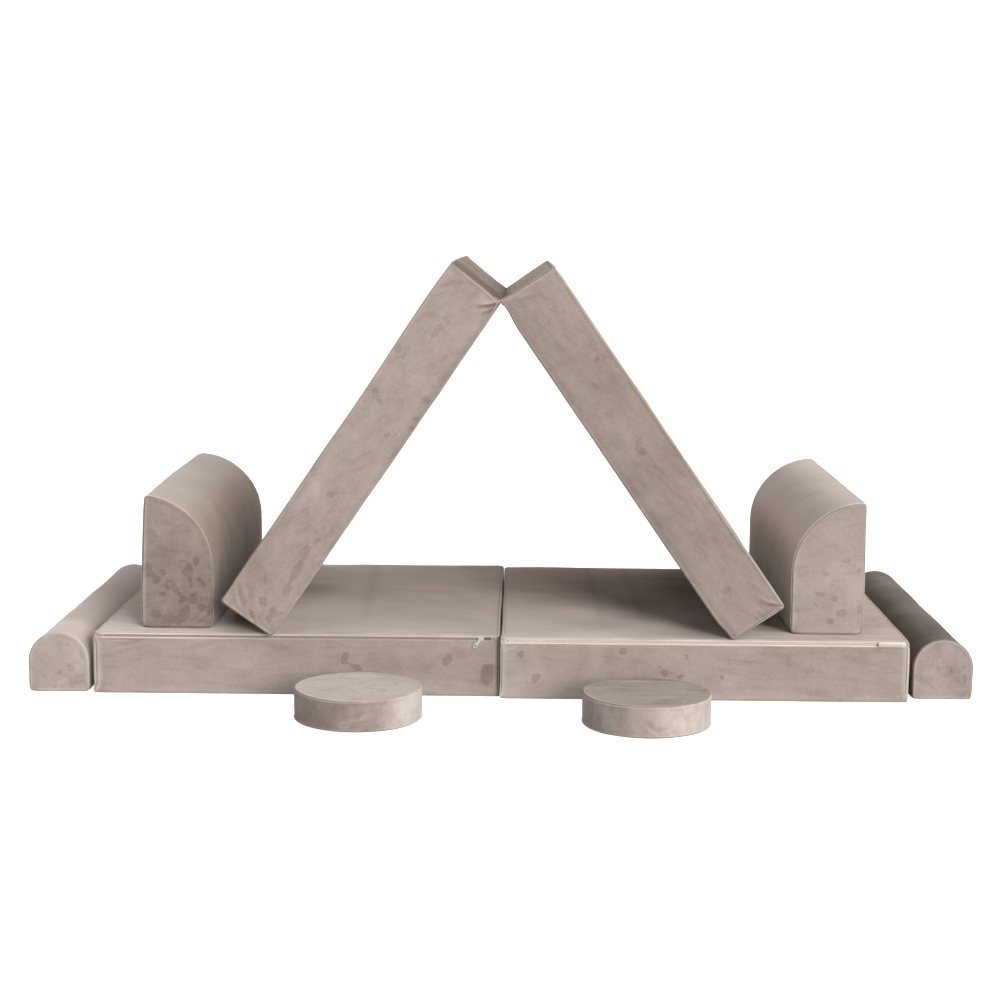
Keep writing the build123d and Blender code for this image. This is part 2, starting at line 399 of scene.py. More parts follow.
def spline_matrix(knots, x):
    """Natural cubic spline through the knots, as a matrix."""
    n = len(knots)
    h = np.diff(knots)
    A, B = np.zeros((n, n)), np.zeros((n, n))
    A[0, 0] = A[-1, -1] = 1
    for i in range(1, n - 1):
        A[i, i - 1], A[i, i], A[i, i + 1] = h[i - 1], 2 * (h[i - 1] + h[i]), h[i]
        B[i, i - 1], B[i, i + 1] = 6 / h[i - 1], 6 / h[i]
        B[i, i] = -6 / h[i - 1] - 6 / h[i]
    S = np.linalg.solve(A, B)
    x = np.clip(x, knots[0], knots[-1])
    k = np.clip(np.searchsorted(knots, x, side="right") - 1, 0, n - 2)
    a, b = (knots[k + 1] - x) / h[k], (x - knots[k]) / h[k]
    W = np.zeros((len(x), n))
    rows = np.arange(len(x))
    W[rows, k] += a
    W[rows, k + 1] += b
    W += ((a**3 - a) * h[k] ** 2 / 6)[:, None] * S[k]
    W += ((b**3 - b) * h[k] ** 2 / 6)[:, None] * S[k + 1]
    return W


def carry(coarse, fine, values):
    """A field on the coarse block's vertices, read on the fine one's."""
    out = np.zeros((len(fine.loc), values.shape[1]))
    R, m = coarse.rows, coarse.m
    v = values[: R * m].reshape(R, m, -1)
    pad = 6
    rc = coarse.ring_coord
    knots = np.concatenate([rc[-pad:] - 4, rc, rc[:pad] + 4])
    Wr = spline_matrix(knots, fine.ring_coord)
    vp = np.concatenate([v[:, -pad:], v, v[:, :pad]], 1)
    tc = (coarse.row_t - coarse.row_t[0]) / (coarse.row_t[-1] - coarse.row_t[0])
    tf = (fine.row_t - fine.row_t[0]) / (fine.row_t[-1] - fine.row_t[0])
    Wt = spline_matrix(tc, tf)
    ring = np.einsum("ab,bcd->acd", Wt, np.einsum("ec,bcd->bed", Wr, vp))
    out[: fine.nring] = ring.reshape(-1, values.shape[1])
    Wu, Wv = spline_matrix(coarse.u, fine.u), spline_matrix(coarse.v, fine.v)
    for end in (0, 1):
        g = values[coarse.grids[end]]
        f = np.einsum("ab,bcd->acd", Wu, np.einsum("ec,bcd->bed", Wv, g))
        inner = fine.grids[end][1:-1, 1:-1]
        out[inner.reshape(-1)] = f[1:-1, 1:-1].reshape(-1, values.shape[1])
    return out


def mesh_object(name, verts, faces, material=None, smooth=True):
    me = bpy.data.meshes.new(name)
    verts = np.asarray(verts, np.float32)
    if isinstance(faces, np.ndarray):
        k = faces.shape[1]
        me.vertices.add(len(verts))
        me.vertices.foreach_set("co", verts.ravel())
        me.loops.add(faces.size)
        me.loops.foreach_set("vertex_index", faces.astype(np.int32).ravel())
        me.polygons.add(len(faces))
        me.polygons.foreach_set(
            "loop_start", np.arange(0, faces.size, k, dtype=np.int32)
        )
    else:
        me.from_pydata(verts.tolist(), [], faces)
    me.update(calc_edges=True)
    me.polygons.foreach_set("use_smooth", np.full(len(me.polygons), smooth))
    me.validate()
    me.update()
    ob = bpy.data.objects.new(name, me)
    bpy.context.scene.collection.objects.link(ob)
    if material is not None:
        me.materials.append(material)
    return ob


def float_attribute(ob, name, values):
    a = ob.data.attributes.new(name, "FLOAT", "POINT")
    a.data.foreach_set("value", np.asarray(values, np.float32))


def vector_attribute(ob, name, values):
    a = ob.data.attributes.new(name, "FLOAT_VECTOR", "POINT")
    a.data.foreach_set("vector", np.asarray(values, np.float32).ravel())


# ------------------------------------------------------------------ profiles
def box_outline(w, h, r):
    o = Outline(
        [
            ("l", (r, 0), (w - r, 0)),
            ("a", (w - r, r), r, -90, 0),
            ("l", (w, r), (w, h - r)),
            ("a", (w - r, h - r), r, 0, 90),
            ("l", (w - r, h), (r, h)),
            ("a", (r, h - r), r, 90, 180),
            ("l", (0, h - r), (0, r)),
            ("a", (r, r), r, 180, 270),
        ]
    )
    half = math.pi * r / 4
    cuts = [o.total - half, w - 2 * r + half]
    cuts.append(cuts[1] + half * 2 + h - 2 * r)
    cuts.append(cuts[2] + half * 2 + w - 2 * r)
    return o, cuts, cuts


def quarter_outline(r=PROFILE_R):
    """Flat side at p = 0, foot at q = 0, the round on the +p side."""
    w, low = Q_WIDE, Q_HIGH - Q_WIDE
    cx, cy = r, low + math.sqrt((w - r) ** 2 - r * r)
    a = math.degrees(math.atan2(cy - low, cx))
    o = Outline(
        [
            ("l", (r, 0), (w - r, 0)),
            ("a", (w - r, r), r, -90, 0),
            ("l", (w, r), (w, low)),
            ("a", (0, low), w, 0, a),
            ("a", (cx, cy), r, a, 180),
            ("l", (0, cy), (0, r)),
            ("a", (r, r), r, 180, 270),
        ]
    )
    half = math.pi * r / 4
    e = o.ends
    cuts = [
        o.total - half,
        e[1] + half,
        e[3] + w * math.radians(46),
        e[4] + half,
    ]
    seams = [cuts[0], cuts[1], cuts[3]]
    return o, cuts, seams


def roll_outline(r=PROFILE_R):
    w, R = R_WIDE, R_WIDE / 2
    low = R_HIGH - R
    o = Outline(
        [
            ("l", (r, 0), (w - r, 0)),
            ("a", (w - r, r), r, -90, 0),
            ("l", (w, r), (w, low)),
            ("a", (R, low), R, 0, 180),
            ("l", (0, low), (0, r)),
            ("a", (r, r), r, 180, 270),
        ]
    )
    half = math.pi * r / 4
    e = o.ends
    cuts = [
        o.total - half,
        e[1] + half,
        e[3] + R * math.radians(45),
        e[3] + R * math.radians(135),
    ]
    return o, cuts, [cuts[0], cuts[1]]


def disc_outline():
    R = D_R
    o = Outline([("a", (0, 0), R, -135, 225)])
    q = R * math.pi / 2
    return o, [0, q, 2 * q, 3 * q], []


# ------------------------------------------------------------------ the ten modules
X, Y, Z = (1, 0, 0), (0, 1, 0), (0, 0, 1)
CL, SL = math.cos(LEAN), math.sin(LEAN)
FOOT_X, FOOT_Z = 0.45671, 0.11995
MODULES = {}


def module(name, shape, run, axes, origin, **more):
    MODULES[name] = dict(
        name=name, shape=shape, run=run, axes=axes, origin=origin, **more
    )


module(
    "left_base",
    "mat",
    (-0.24025, 0.56075),
    (X, Z, Y),
    (-0.8023, 0, 0),
    zip=("cap", 0.115, 0.4005, 0.772),
    seed=11,
)
module(
    "right_base",
    "mat",
    (-0.25725, 0.54375),
    (X, Z, Y),
    (0.0013, 0, 0),
    zip=("cap", 0.115, 0.4005, 0.772),
    seed=23,
)
module(
    "left_tent",
    "mat",
    (-0.26325, 0.53775),
    ((CL, 0, SL), (-SL, 0, CL), Y),
    (-FOOT_X, 0, FOOT_Z),
    zip=("side3", THICK - 0.008, 0.13725, 0.740),
    seed=37,
)
module(
    "right_tent",
    "mat",
    (-0.26325, 0.53775),
    ((-CL, 0, SL), (SL, 0, CL), Y),
    (FOOT_X, 0, FOOT_Z),
    zip=("side3", THICK - 0.008, 0.13725, 0.740),
    seed=41,
)
module(
    "left_quarter",
    "quarter",
    (-0.19325, 0.55075),
    (X, Z, Y),
    (-0.718, 0, 0.1223),
    zip=("side3", 0.034, 0.17875, 0.680),
    seed=53,
)
module(
    "right_quarter",
    "quarter",
    (-0.19825, 0.54575),
    ((-1, 0, 0), Z, Y),
    (0.721, 0, 0.1223),
    zip=("side3", 0.034, 0.17375, 0.680),
    seed=67,
)
module(
    "left_roll",
    "roll",
    (-0.23825, 0.54575),
    (X, Z, Y),
    (-0.935, 0, 0),
    zip=("side3", 0.034, 0.15375, 0.720),
    seed=71,
)
module(
    "right_roll",
    "roll",
    (-0.23175, 0.55225),
    ((-1, 0, 0), Z, Y),
    (0.935, 0, 0),
    zip=("side3", 0.034, 0.16025, 0.720),
    seed=83,
)
module(
    "left_disc",
    "disc",
    (0, D_HIGH),
    (X, Y, Z),
    (-0.266, -0.41725, 0),
    zip=("wall", 0.034, (20, 160)),
    seed=97,
)
module(
    "right_disc",
    "disc",
    (0, D_HIGH),
    (X, Y, Z),
    (0.278, -0.44025, 0),
    zip=("wall", 0.034, (20, 160)),
    seed=101,
)

SHAPES = {
    "mat": lambda: box_outline(MAT, THICK, PROFILE_R),
    "quarter": quarter_outline,
    "roll": roll_outline,
    "disc": disc_outline,
}


def block_of(m, level):
    """level: fine for the piece itself, coarse for the cloth."""
    o, cuts, seams = SHAPES[m["shape"]]()
    fine = level == "fine"
    kw = {}
    if fine:
        kw = dict(fine=0.9 * MM, coarse=5.5 * MM, coarse_run=9 * MM, growth=0.2, rounds=8)
        if m["shape"] == "mat":
            kw["reach"] = 12 * MM
            kw["growth"] = 0.16
        if m["name"] == "left_tent":
            kw["coarse_run"] = 7.8 * MM
        z = m["zip"]
        mark = (0.6 * MM, 6.2 * MM, 0.22)
        lens = [(cuts[(k + 1) % 4] - cuts[k]) % o.total for k in range(4)]
        half = math.pi * PROFILE_R / 4
        if z[0] == "cap":
            # across the zip on both upright sides; where its ends fall, on the long ones
            at = z[1] - PROFILE_R + half
            kw["across"] = {1: [(at, *mark)]}
        elif z[0] == "side3":
            at = lens[3] - (z[1] - PROFILE_R + half)
            kw["across"] = {3: [(at, *mark)]}
            mid, length = z[2], z[3]
            kw["along"] = [
                (mid - length / 2, 1.6 * MM, 3 * MM, 0.3),
                (mid + length / 2, 1.6 * MM, 3 * MM, 0.3),
            ]
        elif z[0] == "wall":
            kw["along"] = [(z[1], *mark)]
            kw["coarse"], kw["coarse_run"] = 4 * MM, 4 * MM
            kw["insets"] = [
                d * MM
                for d in (0.8, 1.6, 2.4, 3.3, 4.3, 5.5, 7, 9, 11.5, 14.5, 18, 22, 26.5)
            ]
            kw["sharp"] = ()
        if m["shape"] in ("quarter", "roll"):
            kw["coarse"], kw["coarse_run"] = 4.2 * MM, 7 * MM
    else:
        kw = dict(fine=5 * MM, coarse=12.5 * MM, growth=0.5, rounds=2)
        if m["shape"] == "disc":
            kw = dict(
                fine=4 * MM,
                coarse=7 * MM,
                growth=0.5,
                rounds=2,
                insets=[0.006, 0.014],
                sharp=(),
            )
        elif m["shape"] != "mat":
            kw["coarse"] = 10 * MM
    b = Block(o, cuts, m["run"], m["axes"], m["origin"], **kw)
    b.seams = seams
    return b


# ------------------------------------------------------------------ zips and folds
def zip_frame(m):
    """For a zip: a function from (u, v, w) to the row frame, and its length."""
    z = m["zip"]
    A, o = np.array(m["axes"], float), np.array(m["origin"], float)
    if z[0] == "cap":
        y0 = m["run"][0]

        def put(u, v, w):
            loc = np.stack([z[2] + u, z[1] + v, y0 - w], -1)
            return loc @ A + o

        return put, z[3]
    if z[0] == "side3":

        def put(u, v, w):
            loc = np.stack([-w, z[1] + v, z[2] + u], -1)
            return loc @ A + o

        return put, z[3]
    a0, a1 = (math.radians(x) for x in z[2])

    def put(u, v, w):
        th = (a0 + a1) / 2 + u / D_R
        loc = np.stack([(D_R + w) * np.cos(th), (D_R + w) * np.sin(th), z[1] + v], -1)
        return loc @ A + o

    return put, D_R * (a1 - a0)


def zip_uv(m, b):
    """Place along the zip and across it for every vertex, whether the vertex is on its face, and the zip's length."""
    z = m["zip"]
    if z[0] == "cap":
        return b.loc[:, 0] - z[2], b.loc[:, 1] - z[1], b.nrm[:, 2] < -0.93, z[3]
    if z[0] == "side3":
        return b.loc[:, 2] - z[2], b.loc[:, 1] - z[1], b.nrm[:, 0] < -0.93, z[3]
    a0, a1 = (math.radians(x) for x in z[2])
    th = np.arctan2(b.loc[:, 1], b.loc[:, 0])
    return (
        (th - (a0 + a1) / 2) * D_R,
        b.loc[:, 2] - z[1],
        np.abs(b.nrm[:, 2]) < 0.4,
        D_R * (a1 - a0),
    )


# soft folds: a line in the row frame, its half width and height, how deep the hollow beside it, and on which side
FOLDS = {
    "left_tent": [
        ([(-0.528, -0.2633, 0.226), (-0.5254, -0.2633, 0.2008), (-0.5185, -0.2633, 0.176)], 0.0036, 0.0012, 1.0, 1),
        ([(-0.512, -0.2633, 0.229), (-0.5074, -0.2633, 0.2129), (-0.5006, -0.2633, 0.190)], 0.0042, 0.0011, 0.9, 1),
        ([(-0.504, -0.2633, 0.172), (-0.4973, -0.2633, 0.1511)], 0.0032, 0.0012, 0.9, 1),
        ([(-0.490, -0.2633, 0.160), (-0.482, -0.2633, 0.145)], 0.0030, 0.0010, 0.8, -1),
        ([(-0.472, -0.2633, 0.149), (-0.461, -0.2633, 0.138)], 0.0030, 0.0009, 0.8, 1),
        ([(-0.487, -0.2633, 0.1932), (-0.4794, -0.2633, 0.1693)], 0.0055, 0.0008, 0.7, 1),
        ([(-0.0540, -0.2633, 0.7730), (-0.0262, -0.2633, 0.7757), (-0.0050, -0.2633, 0.7795)], 0.0031, 0.0058, 0.8, -1),
        ([(-0.0460, -0.2633, 0.7590), (-0.0260, -0.2633, 0.7655), (-0.0125, -0.2633, 0.7740)], 0.0032, 0.0019, 0.9, -1),
        ([(-0.1240, -0.2633, 0.7921), (-0.103, -0.2633, 0.8012), (-0.0857, -0.2633, 0.8088)], 0.0045, 0.0009, 0.8, 1),
        ([(-0.1060, -0.2633, 0.7920), (-0.0876, -0.2633, 0.7996), (-0.0704, -0.2633, 0.8086)], 0.0045, 0.0009, 0.8, 1),
        ([(-0.0660, -0.2633, 0.7760), (-0.0500, -0.2633, 0.7880), (-0.0380, -0.2633, 0.7946)], 0.0040, 0.0007, 0.7, 1),
        ([(-0.4300, -0.2633, 0.330), (-0.3700, -0.2633, 0.420), (-0.3150, -0.2633, 0.520)], 0.0150, 0.0012, 0.6, 1),
    ],
    "right_tent": [
        ([(0.500, -0.2633, 0.150), (0.519, -0.2633, 0.166), (0.540, -0.2633, 0.181)], 0.0026, 0.0018, 0.8, 1),
        ([(0.502, -0.2633, 0.207), (0.528, -0.2633, 0.198), (0.552, -0.2633, 0.190)], 0.0036, 0.0019, 0.8, -1),
        ([(0.520, -0.2633, 0.188), (0.538, -0.2633, 0.188), (0.556, -0.2633, 0.187)], 0.0026, 0.0018, 0.9, 1),
        ([(0.070, -0.2633, 0.800), (0.040, -0.2633, 0.790), (0.014, -0.2633, 0.7830)], 0.0035, 0.0007, 0.7, 1),
    ],
    "left_base": [
        ([(-0.790, -0.2403, 0.1050), (-0.7586, -0.2403, 0.1040), (-0.7208, -0.2403, 0.1040)], 0.0026, 0.0009, 0.8, 1),
        ([(-0.775, -0.2403, 0.0832), (-0.741, -0.2403, 0.0907), (-0.700, -0.2403, 0.1010)], 0.0040, 0.0010, 0.8, 1),
        ([(-0.7693, -0.2403, 0.0691), (-0.7334, -0.2403, 0.0796), (-0.7004, -0.2403, 0.0859)], 0.0048, 0.0008, 0.7, 1),
        ([(-0.6243, -0.2403, 0.0778), (-0.5884, -0.2403, 0.0881), (-0.5505, -0.2403, 0.0985)], 0.0050, 0.0008, 0.7, 1),
        ([(-0.790, -0.150, 0.122), (-0.750, -0.1691, 0.122), (-0.718, -0.185, 0.122)], 0.0060, 0.0016, 0.9, 1),
        ([(-0.790, -0.195, 0.122), (-0.745, -0.2069, 0.122), (-0.690, -0.2161, 0.122)], 0.0060, 0.0014, 0.9, 1),
        ([(-0.3669, -0.2320, 0.122), (-0.2911, -0.2360, 0.122), (-0.2243, -0.2330, 0.122)], 0.0045, 0.0014, 1.0, 1),
        ([(-0.150, -0.2280, 0.122), (-0.105, -0.2350, 0.122), (-0.050, -0.2300, 0.122)], 0.0045, 0.0012, 0.9, 1),
    ],
    "right_base": [
        ([(0.190, -0.2470, 0.122), (0.235, -0.2515, 0.122), (0.2829, -0.2480, 0.122)], 0.0042, 0.0014, 0.9, -1),
        ([(0.0050, -0.2573, 0.0927), (0.030, -0.2573, 0.1029)], 0.0030, 0.0009, 0.8, 1),
        ([(0.0050, -0.2573, 0.0780), (0.026, -0.2573, 0.0850)], 0.0035, 0.0007, 0.8, 1),
    ],
    "left_quarter": [
        ([(-0.6183, -0.1933, 0.1307), (-0.6011, -0.1933, 0.1441), (-0.5839, -0.1933, 0.1605)], 0.0030, 0.0008, 0.7, 1),
        ([(-0.6104, -0.1933, 0.1257), (-0.5933, -0.1933, 0.1339), (-0.5791, -0.1933, 0.1442)], 0.0026, 0.0007, 0.7, 1),
        ([(-0.5980, -0.1933, 0.1700), (-0.590, -0.1933, 0.180), (-0.5810, -0.1933, 0.186)], 0.0030, 0.0006, 0.6, 1),
    ],
    "left_disc": [
        ([(-0.372, -0.470, 0.059), (-0.350, -0.485, 0.059), (-0.322, -0.497, 0.059)], 0.0034, 0.0010, 0.9, 1),
        ([(-0.300, -0.533, 0.012), (-0.262, -0.538, 0.024), (-0.228, -0.532, 0.036)], 0.0040, 0.0008, 0.7, 1),
    ],
    "right_disc": [
        ([(0.262, -0.560, 0.030), (0.276, -0.5605, 0.016), (0.294, -0.5600, 0.004)], 0.0034, 0.0013, 0.9, 1),
        ([(0.320, -0.553, 0.018), (0.330, -0.549, 0.008)], 0.0028, 0.0010, 0.9, -1),
        ([(0.285, -0.560, 0.012), (0.300, -0.5585, 0.010), (0.316, -0.554, 0.014)], 0.0028, 0.0008, 0.8, 1),
    ],
}

# how each kind of end panel is sewn: the lip on the side panel and on the end panel, the stitch line's depth (mm),
# and how far the stuffed edge stands out
SEWN = {
    "mat": (0.50, 0.50, 0.80, 0.95),
    "quarter": (0.90, 0.15, 0.75, 0.80),
    "roll": (0.35, 0.20, 0.50, 0.55),
    "disc": (0.45, 0.35, 0.65, 0.55),
}

# creases over the two ends that meet: where they leave the outer edge and reach the hinge (share of the depth),
# half width (share of the depth), height (mm)
CREASES = {
    "left_tent": [
        (0.020, 0.11, 0.020, 2.0),
        (0.115, 0.29, 0.024, 2.1),
        (0.245, 0.46, 0.026, 1.8),
        (0.430, 0.62, 0.030, 1.0),
    ],
    "right_tent": [(0.05, 0.10, 0.012, 1.0), (0.17, 0.26, 0.012, 0.9), (0.45, 0.50, 0.016, 0.7)],
}


def crease_lines(m, b):
    """Height (mm) of the creases over the end of a tent half, and their painted shade in the hollows (below 0: painted
    highlight on the ridges).
    """
    y0, y1 = m["run"]
    px, py, pz = b.loc.T
    inward, deep = 1 - py / THICK, (pz - y0) / (y1 - y0)
    high, dark, light = np.zeros(len(px)), np.zeros(len(px)), np.zeros(len(px))
    for k, (a0, a1, w, h) in enumerate(CREASES[m["name"]]):
        at = a0 + (a1 - a0) * inward + 0.006 * noise(inward * 3, k * 1.3, 0.2, m["seed"] + 70)
        x = (deep - at) / w
        part = 0.55 + 0.45 * step(0.0, 0.7, inward)
        high += 1.25 * h * part * (bell(x, 1.0) - 0.8 * bell(x - 1.8, 1.1))
        dark = np.maximum(dark, min(h, 1.4) / 1.4 * part * bell(x - 1.7, 1.0))
        light = np.maximum(light, min(h, 1.4) / 1.4 * part * bell(x, 0.8))
    end = step(0.6, 0.95, b.nrm[:, 0])
    return end * high, end * (dark - 0.35 * light)


def along_side(b):
    """For every vertex, which of the outline's four runs it belongs to, and how far from the ends of that run."""
    pos = (b.ell - b.cuts[0]) % b.outline.total
    ends = np.concatenate([[0], np.cumsum(b.lens)])
    k = np.clip(np.searchsorted(ends, pos, side="right") - 1, 0, 3)
    return k, np.minimum(pos - ends[k], ends[k + 1] - pos)


def add_folds(name, world, normal, d):
    """Adds the folds' height to d; gives back the painted highlight on their ridges and the painted shade in the
    hollows beside them.
    """
    shade = np.zeros(len(d))
    for line, width, height, dip, side in FOLDS.get(name, ()):
        line = np.array(line, float)
        lo, hi = line.min(0) - 5 * width, line.max(0) + 5 * width
        use = np.where(((world > lo) & (world < hi)).all(1))[0]
        if not len(use):
            continue
        p = world[use]
        seg = np.diff(line, axis=0)
        lens = np.linalg.norm(seg, axis=1)
        cum = np.concatenate([[0], np.cumsum(lens)])
        best = np.full(len(p), 1e9)
        along, signed = np.zeros(len(p)), np.zeros(len(p))
        for k in range(len(seg)):
            t = ((p - line[k]) @ seg[k]) / (seg[k] @ seg[k])
            tc = np.clip(t, 0, 1)
            rel = p - (line[k] + tc[:, None] * seg[k])
            g = np.linalg.norm(rel, axis=1)
            m = g < best
            best[m] = g[m]
            along[m] = (cum[k] + tc[m] * lens[k]) / cum[-1]
            across = np.cross(normal[use][m], seg[k] / lens[k])
            signed[m] = (rel[m] * across).sum(1)
        beyond = np.sqrt(np.maximum(best**2 - signed**2, 0))
        taper = np.sin(np.pi * np.clip(along, 0.02, 0.98)) ** 0.6 * bell(beyond, width)
        d[use] += (
            height
            * taper
            * (bell(signed, width) - dip * bell(signed - side * 1.7 * width, 1.15 * width))
        )
        # painted highlight on the ridge, painted shade in the hollow
        firm = math.sqrt(height / (1.0 * MM))
        shade[use] += (
            firm * taper * (0.09 * bell(signed, width) - 0.17 * dip * bell(signed - side * 1.7 * width, width))
        )
    return shade


def dress(m, b, sim=None):
    """Adds to the plain block what cloth and sewing do to it: vertices in the row frame, the painted highlight and
    painted shade along its seams, edges, zip and foot, and the folds' painted light and shade.
    """
    seed, shape, name = m["seed"], m["shape"], m["name"]
    n = len(b.loc)
    d = np.zeros(n)
    rim, groove, cream = np.zeros(n), np.zeros(n), np.zeros(n)
    px, py, pz = b.loc.T
    world, normal = b.world(), b.normals()
    near = np.minimum(np.abs(b.s_front), np.abs(b.s_back))
    base, tent = name.endswith("base"), name.endswith("tent")
    out_lip, in_lip, slit_deep, firm = SEWN[shape]
    side, from_end = along_side(b)
    shift, weight = np.zeros(n), np.ones(n)
    if base:
        shift = np.where((side == 1) | (side == 3), 4.6 * MM, 0) * step(0, 22 * MM, from_end)
        weight = np.where(side == 2, 0.5, 1.0)
    elif tent:
        left = name == "left_tent"
        shift = np.where(side == 3, 0.0 if left else 3.0 * MM, 0) * step(0, 16 * MM, from_end)
        weight = np.select([side == 2, side == 0, side == 3], [0.12, 0.3, 0.45 if left else 1.0], 1.0)
    seams = [
        (b.s_front, b.ell, 1, 1.0, shift, weight),
        (b.s_back, b.ell, 2, 1.0, shift, weight),
    ]
    y0, y1 = m["run"]
    for k, arc in enumerate(b.seams):
        s = b.corner_s(arc)
        near = np.minimum(near, np.abs(s))
        run_shift = 0.0
        if base and k in (2, 3):
            run_shift = (4.6 if k == 3 else -4.6) * MM * step(0, 22 * MM, np.minimum(pz - y0, y1 - pz))
        run_shift = run_shift + np.zeros(n)
        seams.append((s, pz, 3 + k, 0.8 if shape == "mat" else 0.4, run_shift, np.ones(n)))
    if shape == "disc":
        # its seam shows on the side away from the light and is lost on the other
        share = 0.25 + 0.95 * step(0.45, -0.35, px / D_R + 0.25 * noise(b.ell * 9, 0.4, 0.9, seed))
        seams = [(s, e, k, st, sh, share) for s, e, k, st, sh, _ in seams]
    for s, ell, k, strength, moved, share in seams:
        use = np.abs(s) < 0.05
        e = ell[use]
        q = s[use] + moved[use] + 0.5 * MM * noise(e * 22, 0.5, k * 7.3, seed)
        st = strength * share[use]
        lumpy = 1 + 0.4 * noise(e * 95, 0.2, k * 3.1, seed + 1)
        wide = 1 + 0.3 * noise(e * 13, 0.7, k * 5.9, seed + 2)
        if k < 3:
            lip = out_lip * bell(q - 1.7 * MM * wide, 1.15 * MM) + in_lip * bell(q + 1.7 * MM * wide, 1.15 * MM)
        else:
            lip = 0.5 * (bell(q - 1.7 * MM * wide, 1.15 * MM) + bell(q + 1.7 * MM * wide, 1.15 * MM))
        slit = bell(q, 0.72 * MM)
        a = np.abs(q)
        # the turned-in allowance shows as a faint step beside the seam
        edge = 9.0 * MM + 0.9 * MM * noise(e * 30, 0.4, k * 2.2, seed + 3)
        band = step(1.0 * MM, 2.6 * MM, a) * (1 - step(-1.4 * MM, 1.2 * MM, a - edge))
        # little puckers across it, in patches
        pk = noise(e * 120 + q * 30, q * 14, k * 1.7, seed + 4) + 0.7 * noise(
            e * 58, q * 9, k * 4.4, seed + 5
        )
        patchy = 0.3 + 0.7 * step(-0.1, 0.5, noise(e * 9, 0.3, k * 8.8, seed + 6))
        pucker = pk * patchy * np.exp(-a / (8 * MM)) * step(0.2 * MM, 2.2 * MM, a)
        d[use] += st * MM * (lip * lumpy - slit_deep * slit + 0.28 * band + 0.5 * pucker)
        high = np.where(q > 0, out_lip, in_lip) if k < 3 else 0.4
        # painted highlight along the lips of the seam
        rim[use] = np.maximum(
            rim[use],
            st * np.clip(high + 0.15, 0, 1) * bell(a - 1.6 * MM, 1.4 * MM) * (0.7 + 0.3 * lumpy),
        )
        # painted shade down the seam's slit; on the quarters a broken dark line of painted shade beside it
        dark = bell(q, 0.62 * MM)
        if shape == "quarter" and k < 3:
            dark = np.maximum(dark, 0.75 * bell(q + 1.3 * MM, 0.8 * MM) * step(-0.5, 0.4, noise(e * 16, 0.1, k, seed + 7)))
        if shape == "roll" and k < 3:
            dark = 0.5 * dark
        groove[use] = np.maximum(groove[use], st * dark)
        # where the cloth turns over the edge a pale band is painted along it: painted highlight
        turned_over = np.zeros(len(e))
        if k < 3:
            sd = side[use]
            if shape == "mat":
                share_of = np.where((sd == 1) | (sd == 3), 0.62, 0.12)
                if tent:
                    pale = {"left_tent": [0.10, 0.55, 0.12], "right_tent": [0.30, 0.55, 0.4]}[name]
                    share_of = np.select([sd == 2, sd == 1, sd == 3], pale, 0.0)
                inner = 1 - (step(2.4 * MM, 5.2 * MM, a) if tent else step(5.5 * MM, 9.5 * MM, a))
                turned_over = share_of * inner
            elif shape == "quarter":
                arc_side = (sd == 1) | (sd == 2)
                turned_over = np.where(
                    q > 0,
                    np.where(arc_side, 0.95, 0.3) * (1 - step(3.0 * MM, 7.0 * MM, q)),
                    np.where(sd == 3, 0.45, 0.0) * (1 - step(4.0 * MM, 9.0 * MM, -q)),
                )
            elif shape == "roll":
                turned_over = 0.35 * (1 - step(2.5 * MM, 6.0 * MM, a))
            else:
                turned_over = 0.30 * (1 - step(2.0 * MM, 5.0 * MM, a))
            turned_over = turned_over * (0.8 + 0.35 * noise(e * 26, q * 60, 0.3, seed + 8))
        # pale line along the quarter's arc seams: painted highlight
        if shape == "quarter" and k < 3:
            bead = {"right_quarter": 0.85, "left_quarter": 0.36}[name]
            rag = {"right_quarter": 0.35, "left_quarter": 0.9}[name]
            broken = 0.75 + rag * noise(e * 21, 0.8, k, seed + 9)
            arc_side = np.where(side[use] == 1, 1.0 if name == "right_quarter" else 0.4, side[use] == 2)
            cream[use] = np.maximum(
                cream[use], arc_side * np.clip(bead * broken, 0, 1) * bell(q - 2.6 * MM, 2.0 * MM)
            )
        # pale line along the right mat's upright front edges: painted highlight
        if name == "right_base" and k == 1:
            upright = (side[use] == 1) * (0.8 + 0.3 * noise(e * 24, 0.6, 0.2, seed + 9))
            cream[use] = np.maximum(cream[use], 0.75 * upright * bell(q - 0.6 * MM, 2.4 * MM))
        rim[use] = np.maximum(rim[use], turned_over * (1 - 0.8 * np.clip(st, 0, 1) * bell(q, 1.0 * MM)))
